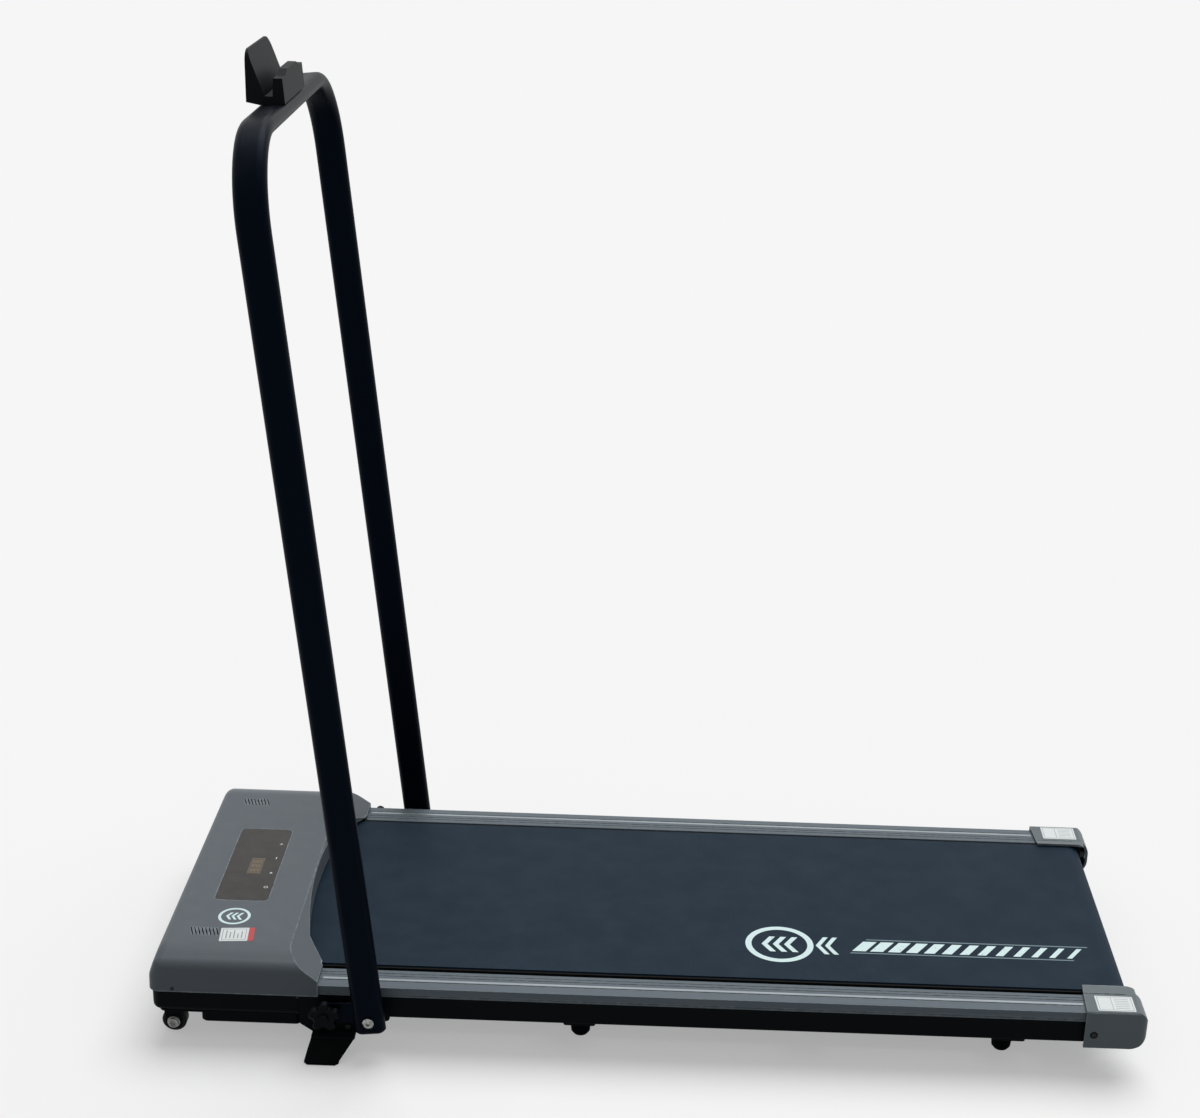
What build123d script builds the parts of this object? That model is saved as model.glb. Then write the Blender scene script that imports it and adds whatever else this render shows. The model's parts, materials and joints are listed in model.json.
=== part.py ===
from build123d import *
import math
import os

# Slim folding walking treadmill. Millimetres, +Z up, floor at Z = 0.
# +X points to the rear, where the user steps on; the motor hood is at -X.
# A user who faces the hood has the left side at -Y and the right side at +Y.
# A "setback" is measured rearwards from the front of the hood.

# ---------------------------------------------------------------- deck sizes
deck_length = 1240.0          # front of the hood to the back of the end caps
rails_width = 480.0           # over the outer faces of the two foot rails
rail_top = 92.0               # height of the foot rails above the floor
rail_width = 40.0
rail_thickness = 3.0
rail_skirt = 14.0             # how far the outer lip of a rail hangs down
rail_lip = 8.0                # the same for the inner lip
rail_lip_wall = 2.4
rail_rib_pitch = 6.0
rail_groove_width = 1.6
rail_groove_depth = 0.7
rail_bevel_width = 12.0       # outer part of the tread falls away a little
rail_bevel_drop = 1.2
rail_edge_radius = 1.2
rail_side_groove_drop = 11.2  # groove along the outer face, below the top

# ---------------------------------------------------------------- frame
side_tube_width = 20.0
side_tube_height = 43.0
tube_wall = 1.5
frame_setback = 22.0
frame_rear_setback = 24.0     # side tubes end this far ahead of the caps' back
cross_tube_width = 40.0
cross_tube_height = 18.0
cross_tube_count = 4
first_cross_setback = 215.0
last_cross_rear = 95.0        # last cross tube to the caps' back
front_tube_setback = 38.0
front_tube_width = 20.0
front_tube_height = 28.0
cushion_height = 3.0
cushion_width = 26.0
cushion_length = 60.0
cushion_spacing = 260.0       # between the middles of each pair

# ---------------------------------------------------------------- walking belt and rollers
belt_side_gap = 9.0           # belt edge to the foot rail
belt_thickness = 1.8
belt_rise = 2.0               # belt surface above the top of the rails
roller_radius = 18.0
roller_wall = 2.5
roller_overhang = 4.0         # roller is longer than the belt is wide
roller_clearance = 0.3
roller_chamfer = 1.0
front_roller_setback = 150.0
rear_roller_rear = 34.0       # rear roller axis to the caps' back
axle_radius = 6.0
axle_clearance = 0.05
front_axle_end_gap = 0.2
rear_axle_end_gap = 3.0
bearing_width = 10.0
bearing_inset = 2.0
deck_board_overhang = 4.0     # deck board is wider than the belt
deck_board_thickness = 14.0
deck_board_end_gap = 7.0
front_plate_thickness = 4.0
front_plate_width = 34.0
front_plate_radius = 5.0
front_plate_margin = 2.0      # above and below the plate, to the edges of the side tube
tension_bolt_radius = 4.0
tension_head_radius = 6.5
tension_head_height = 7.0
tension_head_gap = 1.0        # bolt head to the inside of the end cap
tension_bolt_reach = 2.0      # bolt passes this far through the axle
tension_key_radius = 3.4
tension_key_depth = 4.0
tension_bracket_length = 43.0
tension_bracket_wall = 7.0
tension_bracket_width = 17.5
tension_bracket_height = 32.0
tension_bracket_corner = 3.0
tension_bracket_side = 2.5    # wall beside the side tube

# ---------------------------------------------------------------- motor and belt drive
roller_pulley_radius = 30.0
roller_pulley_rim = 5.0
roller_pulley_boss = 6.0
roller_pulley_holes = 6
roller_pulley_hole_inset = 9.0
roller_pulley_hole_radius = 2.6
roller_pulley_hub_gap = 0.2
roller_pulley_hub_height = 1.8
motor_pulley_radius = 11.0
motor_pulley_hub_radius = 9.0
motor_pulley_hub_height = 4.0
pulley_width = 14.0
pulley_grooves = 3
pulley_groove_depth = 2.0
pulley_groove_share = 0.4     # half the mouth of a groove, as a share of their pitch
pulley_web = 3.0
drive_belt_thickness = 3.0
drive_belt_clearance = 0.3
drive_belt_margin = 1.5
motor_setback = 89.0
motor_drop = 16.5             # motor axis below the top of the side tubes
motor_radius = 34.0
motor_length = 118.0
motor_chamfer = 2.5
motor_offset = 141.0          # middle of the motor to the drive plane
motor_nose_radius = 13.0
motor_nose_height = 4.0
shaft_radius = 5.0
shaft_engagement = 24.0
shaft_bore_gap = 2.0          # left open at the inner end of the shaft
shaft_stub = 2.0              # shaft stands this far out of the pulley
flywheel_radius = 29.0
flywheel_width = 16.0
flywheel_gap = 8.0
flywheel_hub_wall = 5.0
flywheel_rim_wall = 4.0
fan_blades = 9
fan_window_width = 5.0
mount_thickness = 3.0
mount_inset = 12.0
mount_reach = 27.2            # plate ends this far behind the motor's axis
mount_pan_gap = 1.0
mount_top_drop = 2.0
mount_heel = 5.0
mount_heel_gap = 0.2
controller_setback = 96.0
controller_inset = 132.0      # its middle to the outside of the side tube
controller_size = (56.0, 120.0, 24.0)
controller_corner = 3.0
controller_fin_height = 12.0
controller_fin_pitch = 8.0
controller_fins = 7
controller_fin_thickness = 2.4
controller_fin_margin = 5.0

# ---------------------------------------------------------------- motor hood
hood_overhang = 4.0           # hood is this much wider than the rails, each side
hood_rise = 34.0              # top of the hood above the rails
hood_skirt = 15.0             # bottom of the hood below the top of the rails
hood_bevel_drop = 11.0
hood_bevel_width = 27.0
hood_side_lean = 4.5          # sides lean inwards by this much up to the bevel
hood_shoulder_radius = 14.0
hood_crown_radius = 60.0
hood_wall = 3.0
hood_front_radius = 14.0
hood_front_lean = 11.0        # front leans back by this much above the cover
hood_knee_radius = 25.0
hood_knee_rise = 5.0          # front starts to lean this far above the cover
hood_top_length = 173.0
hood_ramp_length = 38.5
hood_ramp_rise = 5.0          # foot of the ramp above the rails
hood_ramp_wall = (0.3, 0.4)   # shares of the wall taken along the ramp's top and at its foot
hood_tip_wall = 0.6           # the same beside the rear tips
hood_tube_gap = 0.2
notch_depth = 37.0            # hood stops this far short of its rear tips over the belt
notch_bow = 15.0
notch_shoulder = 40.0         # bowed edge ends this far inside the rails
notch_side_gap = 4.0
hood_rear_gap = 4.0           # belt surface to the hood's rear edge
display_setback = 90.0
display_length = 69.0
display_width = 196.0
display_corner = 8.0
display_thickness = 2.0
display_ledge = 5.0
display_clearance = 0.15
led_board_margins = (8.0, 12.0)
led_size = (24.0, 42.0, 4.4)
led_board_thickness = 1.6
vent_count = 8
vent_pitch = 4.6
vent_slot_length = 19.0
vent_slot_width = 1.5
vent_slant = 18.0
vent_setback = 60.0
vent_inset = 66.0             # vents' middle to the side of the hood

# ---------------------------------------------------------------- lower front cover and belly pan
cover_wall = 3.0
cover_overlap = 13.0          # cover reaches this far up inside the hood
cover_clearance = 0.3
cover_depth = 183.0
cover_corner_ease = 1.0       # cover is this much rounder than the inside of the hood
cover_lower_radius = 8.0
pan_thickness = 2.0
pan_depth = 19.0
pan_setback = 11.0
pan_recess_setback = 62.0
pan_rear_setback = 188.0
pan_side_gap = 1.0
pan_recess_side = 6.0         # side of the recess to the outside of the tube
pan_corner_radius = 8.0
pan_chamfer = 2.0

# ---------------------------------------------------------------- end caps
cap_length = 78.0
cap_overhang = 5.5            # cap is this much wider than the rails, each side
cap_rise = 3.5
cap_lip_rise = 3.0            # inner lip above the top of the cap
cap_drop = 2.0                # cap below the side tubes
cap_wall = 3.0
cap_floor = 2.0
cap_ridge_inset = 2.0         # bevel starts this far outside the rail's inner edge
cap_lip_reach = 13.0          # lip reaches this far inside the rails, over the belt
cap_lip_gap = 0.5
cap_side_inset = 1.0          # inner side of the cap, inside the rail's inner edge
cap_groove = 0.8
cap_edge = 1.5
cap_round = 22.0
cap_corner_radius = 10.0
cap_front_slant = 3.0
cap_key_clearance = 0.8

# ---------------------------------------------------------------- folding handlebar
tube_width = 38.0             # flat-oval tube, wide side fore and aft
tube_thickness = 20.0
post_gap = 13.0               # foot rail to the inside of a post
handle_length = 1074.0        # pivot to the middle of the crossbar
handle_bend = 99.0            # bend radius on the middle line of the tube
handle_lean = 6.1             # forward lean in use, degrees
pivot_setback = 278.0
pivot_rise = 15.0             # pivot above the bottom of the side tubes
post_tail = 14.0              # tube below the pivot
plug_length = 4.0
plug_chamfer = 2.4
pivot_radius = 5.0
pivot_clearance = 0.08
pivot_head_radius = 7.0
pivot_head_height = 4.5
pivot_head_dome = 0.45        # share of the head's height that is chamfered
pivot_key_radius = 2.8
pivot_key_depth = 2.5
side_gap = 0.3                # running gap beside parts that turn

# ---------------------------------------------------------------- hinge brackets and lock
bracket_thickness = 4.0
bracket_rise = 15.0           # top of the bracket above the pivot
bracket_foot_z = 25.0
bracket_foot_reach = 20.0     # foot starts this far ahead of the pivot
bracket_front_reach = 35.0
bracket_rear_reach = 22.0
bracket_flange = 3.0
bracket_corner = 3.5
bracket_heel = (4.0, 5.0)     # knee behind the foot, back and up from its rear end
bracket_toe = (1.0, 11.0)     # knee ahead of the foot, back and up from the plate's front
bracket_front_drop = 2.0      # front end below the side tube
bracket_rear_drop = 1.0
lock_reach = 56.0             # lock screw ahead of the pivot
lock_boss_radius = 7.5
pivot_boss_radius = 11.0
tab_thickness = 3.0
tab_nose_radius = 12.0
tab_tail_radius = 15.0
lock_screw_radius = 4.0
lock_screw_clearance = 0.06
lock_screw_end_gap = 1.0
notch_clearance = 0.3
notch_flare = 1.2             # mouth of the notch widens by this much, each side
notch_mouth = 4.0             # over this much more than the radius of the nose
knob_radius = 19.5
knob_height = 15.0
knob_flange_height = 5.0
knob_flange_radius = 11.0
knob_lobes = 5
knob_lobe_radius = 6.0
knob_cap_radius = 7.0
knob_cap_height = 3.0
knob_cap_taper = 20.0
knob_chamfer = 1.6
stand_foot_top = (54.0, 19.0)
stand_foot_bottom = (43.0, 37.0)
stand_foot_sweep = 12.0       # the foot's sole sits this far ahead of its top
stand_foot_splay = 5.0        # and its inner side this far outside the tube
stand_foot_sole = 4.0
stand_foot_corner = 4.0
stand_foot_edge = 1.5
foot_screw_reach = 30.0
foot_screw_rise = 9.3
foot_screw_radius = 3.5
foot_screw_height = 2.5

# ---------------------------------------------------------------- feet and transport wheels
foot_bar_setback = 536.0
foot_bar_rear = 168.0         # rear foot bar to the caps' back
foot_bar_width = 40.0
foot_bar_thickness = 3.0
foot_bar_corner = 4.0
foot_bar_end_inset = 2.0
foot_inset = 55.0             # foot's middle to the outside of the side tube
foot_top_radius = 17.0
foot_bottom_radius = 12.0
foot_toe_inset = 3.0
foot_toe_height = 4.0
foot_collar_inset = 2.0
foot_collar_slope = 2.0
foot_collar_height = 6.0
wheel_setback = 24.0
wheel_radius = 15.5
wheel_width = 15.0
wheel_clearance = 1.0         # wheel stays this far off the floor
wheel_inset = 23.0            # outer face of the wheel to the outside of the side tube
wheel_gap = 0.5
wheel_bolt_radius = 4.0
wheel_hub_wall = 2.5
wheel_rim_wall = 4.0
wheel_dish = 2.0
wheel_chamfer = 1.6
fork_thickness = 2.5
fork_width = 26.0
fork_tip_radius = 9.0
fork_root = 2.0
axle_nut_radius = 7.0
axle_nut_height = 4.0
wheel_washer_radius = 8.0
wheel_washer_thickness = 1.2
wheel_head_radius = 6.2
wheel_head_height = 4.4
wheel_head_chamfer = 0.8
wheel_socket_radius = 3.6
wheel_socket_depth = 2.8

# ---------------------------------------------------------------- phone holder
holder_length = 132.0
holder_y = -18.0
holder_depth = 44.0
holder_overlap = 16.0         # lip side stands this far behind the crossbar's middle
holder_base = 7.0
holder_seat = 1.0
holder_height = 57.0
holder_back_foot = 21.0
holder_back_top = 2.5
holder_slot = 9.0
holder_lip_height = 27.0
holder_lip_rise = 6.0
holder_lip_centre = 54.0
holder_lip_slope = 18.0
holder_lip_lean = 1.5         # inner face of the lip, over its height
holder_lip_draft = 3.0        # the same at its outer face
holder_corner = 14.0
holder_undercut = 3.5
holder_screw_radius = 4.0
holder_screw_height = 2.2
holder_screw_spread = 0.32    # each side of the middle, as a share of the holder's length

# ---------------------------------------------------------------- front panel
inlet_inset = 87.0            # middles of the panel parts to the outside of the side tube
switch_inset = 132.0
breaker_inset = 47.0
inlet_rise = 19.0             # panel parts above the bottom of the side tubes
inlet_size = (28.0, 20.0)     # panel cut-outs, Y by Z
inlet_corner = 2.0
inlet_borders = (2.5, 1.5)
inlet_recess = (24.5, 16.5)
inlet_recess_corner = 3.0
inlet_bezel = 2.0
inlet_body_depth = 20.0
socket_depth = 16.0
blade_size = (2.0, 4.0)
blade_pitch = 7.0
blade_length = 12.0
blade_rises = (1.0, 4.0, 1.0)  # above the middle of the inlet
switch_size = (15.0, 20.0)
switch_bezel = 1.6
switch_borders = (2.0, 1.5)
switch_corner = 1.5
switch_depth = 15.0
rocker_half_height = 8.6
rocker_width = 10.0
rocker_rise = 1.2
rocker_depth = 6.5
rocker_tilt = 8.0
rocker_gap = 0.4
rocker_end_gap = 0.6
rocker_taper = 0.7            # length of its foot, as a share of its face
breaker_radius = 7.0
breaker_depth = 18.0
breaker_nut_height = 2.0
breaker_nut_wall = 2.0
breaker_button_radius = 3.2
breaker_button_chamfer = 0.6
breaker_gap = 0.3
breaker_travel = 3.0

# ---------------------------------------------------------------- derived places
front_x = -deck_length / 2
rear_x = deck_length / 2
tube_top = rail_top - rail_thickness
tube_bottom = tube_top - side_tube_height
tube_outer = rails_width / 2 - rail_thickness
tube_inner = tube_outer - side_tube_width
frame_front = front_x + frame_setback
frame_rear = rear_x - frame_rear_setback
front_tube_x = front_x + front_tube_setback
rail_inner = rails_width / 2 - rail_width
belt_width = 2 * (rail_inner - belt_side_gap)
roller_length = belt_width + 2 * roller_overhang
deck_board_width = belt_width + 2 * deck_board_overhang
front_roller_x = front_x + front_roller_setback
rear_roller_x = rear_x - rear_roller_rear
belt_top = rail_top + belt_rise
board_top = belt_top - belt_thickness
roller_z = board_top - roller_clearance - roller_radius
board_bottom = board_top - deck_board_thickness
cross_tube_top = board_bottom - cushion_height
cross_first = front_x + first_cross_setback
cross_last = rear_x - last_cross_rear
cross_step = (cross_last - cross_first) / (cross_tube_count - 1)
cross_tube_xs = [cross_first + step * cross_step for step in range(cross_tube_count)]
board_front = front_roller_x + roller_radius + deck_board_end_gap
board_rear = rear_roller_x - roller_radius - deck_board_end_gap
pulley_y = -(roller_length / 2 + pulley_width / 2)
tension_bracket_rear = rear_x - cap_wall - tension_head_height - tension_head_gap
tension_bracket_front = tension_bracket_rear - tension_bracket_length
tension_bolt_y = tube_inner - tension_bracket_width / 2
motor_x = front_x + motor_setback
motor_centre_y = pulley_y + motor_offset
motor_z = tube_top - motor_drop
controller_x = front_x + controller_setback
controller_y = tube_outer - controller_inset
hood_half_width = rails_width / 2 + hood_overhang
hood_top = rail_top + hood_rise
hood_bottom = rail_top - hood_skirt
hood_shoulder = hood_top - hood_bevel_drop
hood_ramp_start = front_x + hood_top_length
hood_ramp_end = hood_ramp_start + hood_ramp_length
hood_ramp_foot = rail_top + hood_ramp_rise
display_x = front_x + display_setback
vent_x = front_x + vent_setback
vent_y = hood_half_width - vent_inset
cover_front = front_x + hood_wall
cover_top = hood_bottom + cover_overlap
hood_knee = cover_top + hood_knee_rise
hood_lean_rate = hood_side_lean / (hood_shoulder - hood_bottom)
cover_corner_radius = hood_front_radius - hood_wall + cover_corner_ease
cover_half_width = hood_half_width - hood_wall - hood_lean_rate * cover_overlap - cover_clearance
pan_front = front_x + pan_setback
pan_rear = front_x + pan_rear_setback
pan_recess_front = front_x + pan_recess_setback
pan_recess_half_width = tube_outer - pan_recess_side
pan_bottom = tube_bottom - pan_depth
cap_front = rear_x - cap_length
cap_half_width = rails_width / 2 + cap_overhang
cap_top = rail_top + cap_rise
cap_bottom = tube_bottom - cap_drop
cap_ridge = rail_inner + cap_ridge_inset
cap_inner = rail_inner - cap_lip_reach
post_inner = rails_width / 2 + post_gap
post_outer = post_inner + tube_thickness
pivot_x = front_x + pivot_setback
pivot_z = tube_bottom + pivot_rise
bracket_outer = tube_outer + bracket_thickness
bracket_top = pivot_z + bracket_rise
tab_inner = post_inner - tab_thickness
boss_end = tab_inner - side_gap
lock_x = pivot_x - lock_reach
knob_face = post_inner + side_gap
foot_rear = pivot_x - bracket_foot_reach
foot_front = foot_rear - stand_foot_top[0]
foot_bar_xs = (front_x + foot_bar_setback, rear_x - foot_bar_rear)
foot_y = tube_outer - foot_inset
wheel_x = front_x + wheel_setback
wheel_z = wheel_radius + wheel_clearance
wheel_outer_y = tube_outer - wheel_inset
inlet_y = tube_outer - inlet_inset
switch_y = tube_outer - switch_inset
breaker_y = tube_outer - breaker_inset
inlet_z = tube_bottom + inlet_rise
lean = math.radians(handle_lean)
handle_plane = Plane(
    origin=(pivot_x, 0, pivot_z), x_dir=(0, 1, 0), z_dir=(math.cos(lean), 0, math.sin(lean))
)
crossbar_x = pivot_x - handle_length * math.sin(lean)
crossbar_z = pivot_z + handle_length * math.cos(lean)
holder_rear = crossbar_x + holder_overlap
holder_front = holder_rear - holder_depth

RIGHT = 1
LEFT = -1
HEX_SIDE_COUNT = 6
OVERRUN = 1.0                 # a cut starts or ends this far outside the solid


def side_plane(y):
    """Plane seen from the -Y side: local x along +X, local y along +Z, normal to -Y."""
    return Plane(origin=(0, y, 0), x_dir=(1, 0, 0), z_dir=(0, -1, 0))


def cross_plane(x):
    """Plane across the machine: local x along +Y, local y along +Z, normal to +X."""
    return Plane(origin=(x, 0, 0), x_dir=(0, 1, 0), z_dir=(1, 0, 0))


def mirrored(part):
    return part.mirror(Plane.XZ)


def block(x0, x1, y0, y1, z0, z1):
    """Rectangular blank between two corners."""
    with BuildPart() as blank:
        with BuildSketch(Plane.XY.offset(z0)):
            with Locations(((x0 + x1) / 2, (y0 + y1) / 2)):
                Rectangle(x1 - x0, y1 - y0)
        extrude(amount=z1 - z0)
    return blank.part


def rod(x, z, radius, y0, y1):
    """Round bar across the machine."""
    with BuildPart() as bar:
        with BuildSketch(side_plane(y0)):
            with Locations((x, z)):
                Circle(radius)
        extrude(amount=-(y1 - y0))
    return bar.part


# ================================================================ frame
def side_tube():
    with BuildPart() as tube:
        with BuildSketch(cross_plane(frame_front)):
            with Locations(((tube_inner + tube_outer) / 2, (tube_top + tube_bottom) / 2)):
                RectangleRounded(side_tube_width, side_tube_height, 2 * tube_wall)
                Rectangle(
                    side_tube_width - 2 * tube_wall,
                    side_tube_height - 2 * tube_wall,
                    mode=Mode.SUBTRACT,
                )
        extrude(amount=frame_rear - frame_front)
    return tube.part


def cross_tube(x, width, height, top):
    with BuildPart() as tube:
        with BuildSketch(side_plane(-tube_inner)):
            with Locations((x, top - height / 2)):
                RectangleRounded(width, height, 2 * tube_wall)
                Rectangle(width - 2 * tube_wall, height - 2 * tube_wall, mode=Mode.SUBTRACT)
        extrude(amount=-2 * tube_inner)
    return tube.part


def deck_crossmembers():
    with BuildPart() as members:
        for x in cross_tube_xs:
            add(cross_tube(x, cross_tube_width, cross_tube_height, cross_tube_top))
    return members.part


def front_crossmember():
    top = tube_bottom + front_tube_height
    return cross_tube(front_tube_x, front_tube_width, front_tube_height, top)


def deck_cushions():
    with BuildPart() as cushions:
        for x in cross_tube_xs:
            with BuildSketch(Plane.XY.offset(cross_tube_top)):
                with Locations((x, -cushion_spacing / 2), (x, cushion_spacing / 2)):
                    Rectangle(cushion_width, cushion_length)
            extrude(amount=cushion_height)
    return cushions.part


def deck_board():
    with BuildPart() as board:
        with BuildSketch(side_plane(-deck_board_width / 2)):
            with Locations(((board_front + board_rear) / 2, (board_top + board_bottom) / 2)):
                Rectangle(board_rear - board_front, deck_board_thickness)
        extrude(amount=-deck_board_width)
        top_ends = board.edges().filter_by(Axis.Y).group_by(Axis.Z)[-1]
        fillet(top_ends, deck_board_thickness / 3)
    return board.part


# ================================================================ foot rails
def foot_rail():
    outer = rails_width / 2
    skirt_end = rail_top - rail_skirt
    lip_end = rail_top - rail_lip
    with BuildPart() as rail:
        with BuildSketch(cross_plane(hood_ramp_end)) as section:
            with BuildLine():
                Polyline(
                    (outer, skirt_end),
                    (outer, rail_top - rail_bevel_drop),
                    (outer - rail_bevel_width, rail_top),
                    (rail_inner, rail_top),
                    (rail_inner, lip_end),
                    (rail_inner + rail_lip_wall, lip_end),
                    (rail_inner + rail_lip_wall, tube_top),
                    (tube_outer, tube_top),
                    (tube_outer, skirt_end),
                    close=True,
                )
            make_face()
            fillet(section.vertices().group_by(Axis.Y)[-1], rail_edge_radius)
            groove_ys = [outer - rail_width / 2 + step * rail_rib_pitch for step in (-2, -1, 1)]
            with Locations(*[(y, rail_top) for y in groove_ys]):
                Rectangle(rail_groove_width, 2 * rail_groove_depth, mode=Mode.SUBTRACT)
            with Locations((outer, rail_top - rail_side_groove_drop)):
                Rectangle(2 * rail_groove_depth, rail_groove_width, mode=Mode.SUBTRACT)
        extrude(amount=cap_front + cap_wall - hood_ramp_end)
    return rail.part


# ================================================================ walking belt and rollers
def walking_belt():
    span = rear_roller_x - front_roller_x
    inner = roller_radius + roller_clearance
    with BuildPart() as belt:
        with BuildSketch(side_plane(belt_width / 2)):
            with Locations(((front_roller_x + rear_roller_x) / 2, roller_z)):
                SlotCenterToCenter(span, 2 * (inner + belt_thickness))
                SlotCenterToCenter(span, 2 * inner, mode=Mode.SUBTRACT)
        extrude(amount=belt_width)
    return belt.part


def roller(x):
    inner = roller_radius - roller_wall
    with BuildPart() as tube:
        with BuildSketch(side_plane(roller_length / 2)):
            with Locations((x, roller_z)):
                Circle(roller_radius)
                Circle(inner, mode=Mode.SUBTRACT)
        extrude(amount=roller_length)
        rims = tube.edges().filter_by(GeomType.CIRCLE).group_by(SortBy.RADIUS)[-1]
        chamfer(rims, roller_chamfer)
    return tube.part


def roller_bearings(x):
    seat = roller_radius - roller_wall
    end = roller_length / 2 - bearing_inset
    with BuildPart() as bearings:
        for y0 in (-end, end - bearing_width):
            with BuildSketch(side_plane(y0)):
                with Locations((x, roller_z)):
                    Circle(seat)
                    Circle(axle_radius + axle_clearance, mode=Mode.SUBTRACT)
            extrude(amount=-bearing_width)
    return bearings.part


def front_axle():
    reach = tube_inner - front_axle_end_gap
    return rod(front_roller_x, roller_z, axle_radius, -reach, reach)


def front_axle_plates():
    height = side_tube_height - 2 * front_plate_margin
    with BuildPart() as plates:
        for y0 in (-tube_inner, tube_inner - front_plate_thickness):
            with BuildSketch(side_plane(y0)):
                with Locations((front_roller_x, (tube_top + tube_bottom) / 2)):
                    RectangleRounded(front_plate_width, height, front_plate_radius)
                with Locations((front_roller_x, roller_z)):
                    Circle(axle_radius + axle_clearance, mode=Mode.SUBTRACT)
            extrude(amount=-front_plate_thickness)
    return plates.part


def rear_axle():
    reach = tube_inner - rear_axle_end_gap
    bar = rod(rear_roller_x, roller_z, axle_radius, -reach, reach)
    with BuildPart() as axle:
        add(bar)
        with BuildSketch(cross_plane(rear_roller_x - axle_radius)):
            with Locations((-tension_bolt_y, roller_z), (tension_bolt_y, roller_z)):
                Circle(tension_bolt_radius + axle_clearance)
        extrude(amount=2 * axle_radius, mode=Mode.SUBTRACT)
    return axle.part


def roller_tension_bracket():
    """Open box on the inside of the side tube that the rear axle slides in."""
    length = tension_bracket_rear - tension_bracket_front
    y0 = tube_inner - tension_bracket_width
    with BuildPart() as bracket:
        with BuildSketch(side_plane(y0)):
            with Locations((tension_bracket_front + length / 2, roller_z)):
                RectangleRounded(length, tension_bracket_height, tension_bracket_corner)
        extrude(amount=-tension_bracket_width)
        with BuildSketch(side_plane(y0)):
            with Locations((tension_bracket_front + length / 2, roller_z)):
                Rectangle(length - 2 * tension_bracket_wall, 2 * (axle_radius + axle_clearance))
        extrude(amount=-(tension_bracket_width - tension_bracket_side), mode=Mode.SUBTRACT)
        with BuildSketch(cross_plane(tension_bracket_rear)):
            with Locations((tension_bolt_y, roller_z)):
                Circle(tension_bolt_radius + axle_clearance)
        extrude(amount=-2 * tension_bracket_wall, mode=Mode.SUBTRACT)
    return bracket.part


def tension_bolts():
    start = rear_roller_x - axle_radius - tension_bolt_reach
    with BuildPart() as bolts:
        for y in (-tension_bolt_y, tension_bolt_y):
            with BuildSketch(cross_plane(start)):
                with Locations((y, roller_z)):
                    Circle(tension_bolt_radius)
            extrude(amount=tension_bracket_rear - start)
            with BuildSketch(cross_plane(tension_bracket_rear)):
                with Locations((y, roller_z)):
                    Circle(tension_head_radius)
            extrude(amount=tension_head_height)
            with BuildSketch(cross_plane(tension_bracket_rear + tension_head_height)):
                with Locations((y, roller_z)):
                    RegularPolygon(tension_key_radius, HEX_SIDE_COUNT)
            extrude(amount=-tension_key_depth, mode=Mode.SUBTRACT)
    return bolts.part


# ================================================================ belt drive
def grooved_pulley(x, z, radius, bore, hub_radius, hub_length):
    """Poly-V pulley at the drive plane, with its grooves turned into the rim."""
    half = pulley_width / 2
    pitch = pulley_width / (pulley_grooves + 1)
    groove_half = pulley_groove_share * pitch
    profile = [(bore, -half), (radius, -half)]
    for groove in range(pulley_grooves):
        middle = -half + pitch * (groove + 1)
        profile += [
            (radius, middle - groove_half),
            (radius - pulley_groove_depth, middle),
            (radius, middle + groove_half),
        ]
    profile += [(radius, half), (bore, half)]
    axis_plane = Plane(origin=(x, pulley_y, z), x_dir=(1, 0, 0), z_dir=(0, 0, 1))
    with BuildPart() as pulley:
        with BuildSketch(axis_plane):
            with BuildLine():
                Polyline(*profile, close=True)
            make_face()
        revolve(axis=Axis((x, pulley_y, z), (0, 1, 0)))
        if hub_length > 0:
            with BuildSketch(side_plane(pulley_y + half)):
                with Locations((x, z)):
                    Circle(hub_radius)
                    Circle(bore, mode=Mode.SUBTRACT)
            extrude(amount=-hub_length)
    return pulley.part


def roller_pulley():
    bore = axle_radius + side_gap
    hub = roller_radius - roller_wall - roller_pulley_hub_gap
    blank = grooved_pulley(
        front_roller_x, roller_z, roller_pulley_radius, bore, hub, roller_pulley_hub_height
    )
    with BuildPart() as pulley:
        add(blank)
        with BuildSketch(side_plane(pulley_y - pulley_width / 2)):
            with Locations((front_roller_x, roller_z)):
                Circle(roller_pulley_radius - roller_pulley_rim)
                Circle(axle_radius + roller_pulley_boss, mode=Mode.SUBTRACT)
        extrude(amount=-(pulley_width - pulley_web), mode=Mode.SUBTRACT)
        with BuildSketch(side_plane(pulley_y + pulley_width / 2)):
            with Locations((front_roller_x, roller_z)):
                hole_ring = roller_pulley_radius - roller_pulley_hole_inset
                with PolarLocations(hole_ring, roller_pulley_holes):
                    Circle(roller_pulley_hole_radius)
        extrude(amount=pulley_width, mode=Mode.SUBTRACT)
    return pulley.part


def drive_belt():
    """Belt round the two pulleys: the hull of two circles, less the same hull inside."""
    inner_gap = drive_belt_clearance
    outer_gap = drive_belt_clearance + drive_belt_thickness
    y0 = pulley_y + pulley_width / 2 - drive_belt_margin
    with BuildPart() as belt:
        for gap, mode in ((outer_gap, Mode.ADD), (inner_gap, Mode.SUBTRACT)):
            with BuildSketch(side_plane(y0)):
                with Locations((motor_x, motor_z)):
                    Circle(motor_pulley_radius + gap)
                with Locations((front_roller_x, roller_z)):
                    Circle(roller_pulley_radius + gap)
                make_hull()
            extrude(amount=pulley_width - 2 * drive_belt_margin, mode=mode)
    return belt.part


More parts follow.
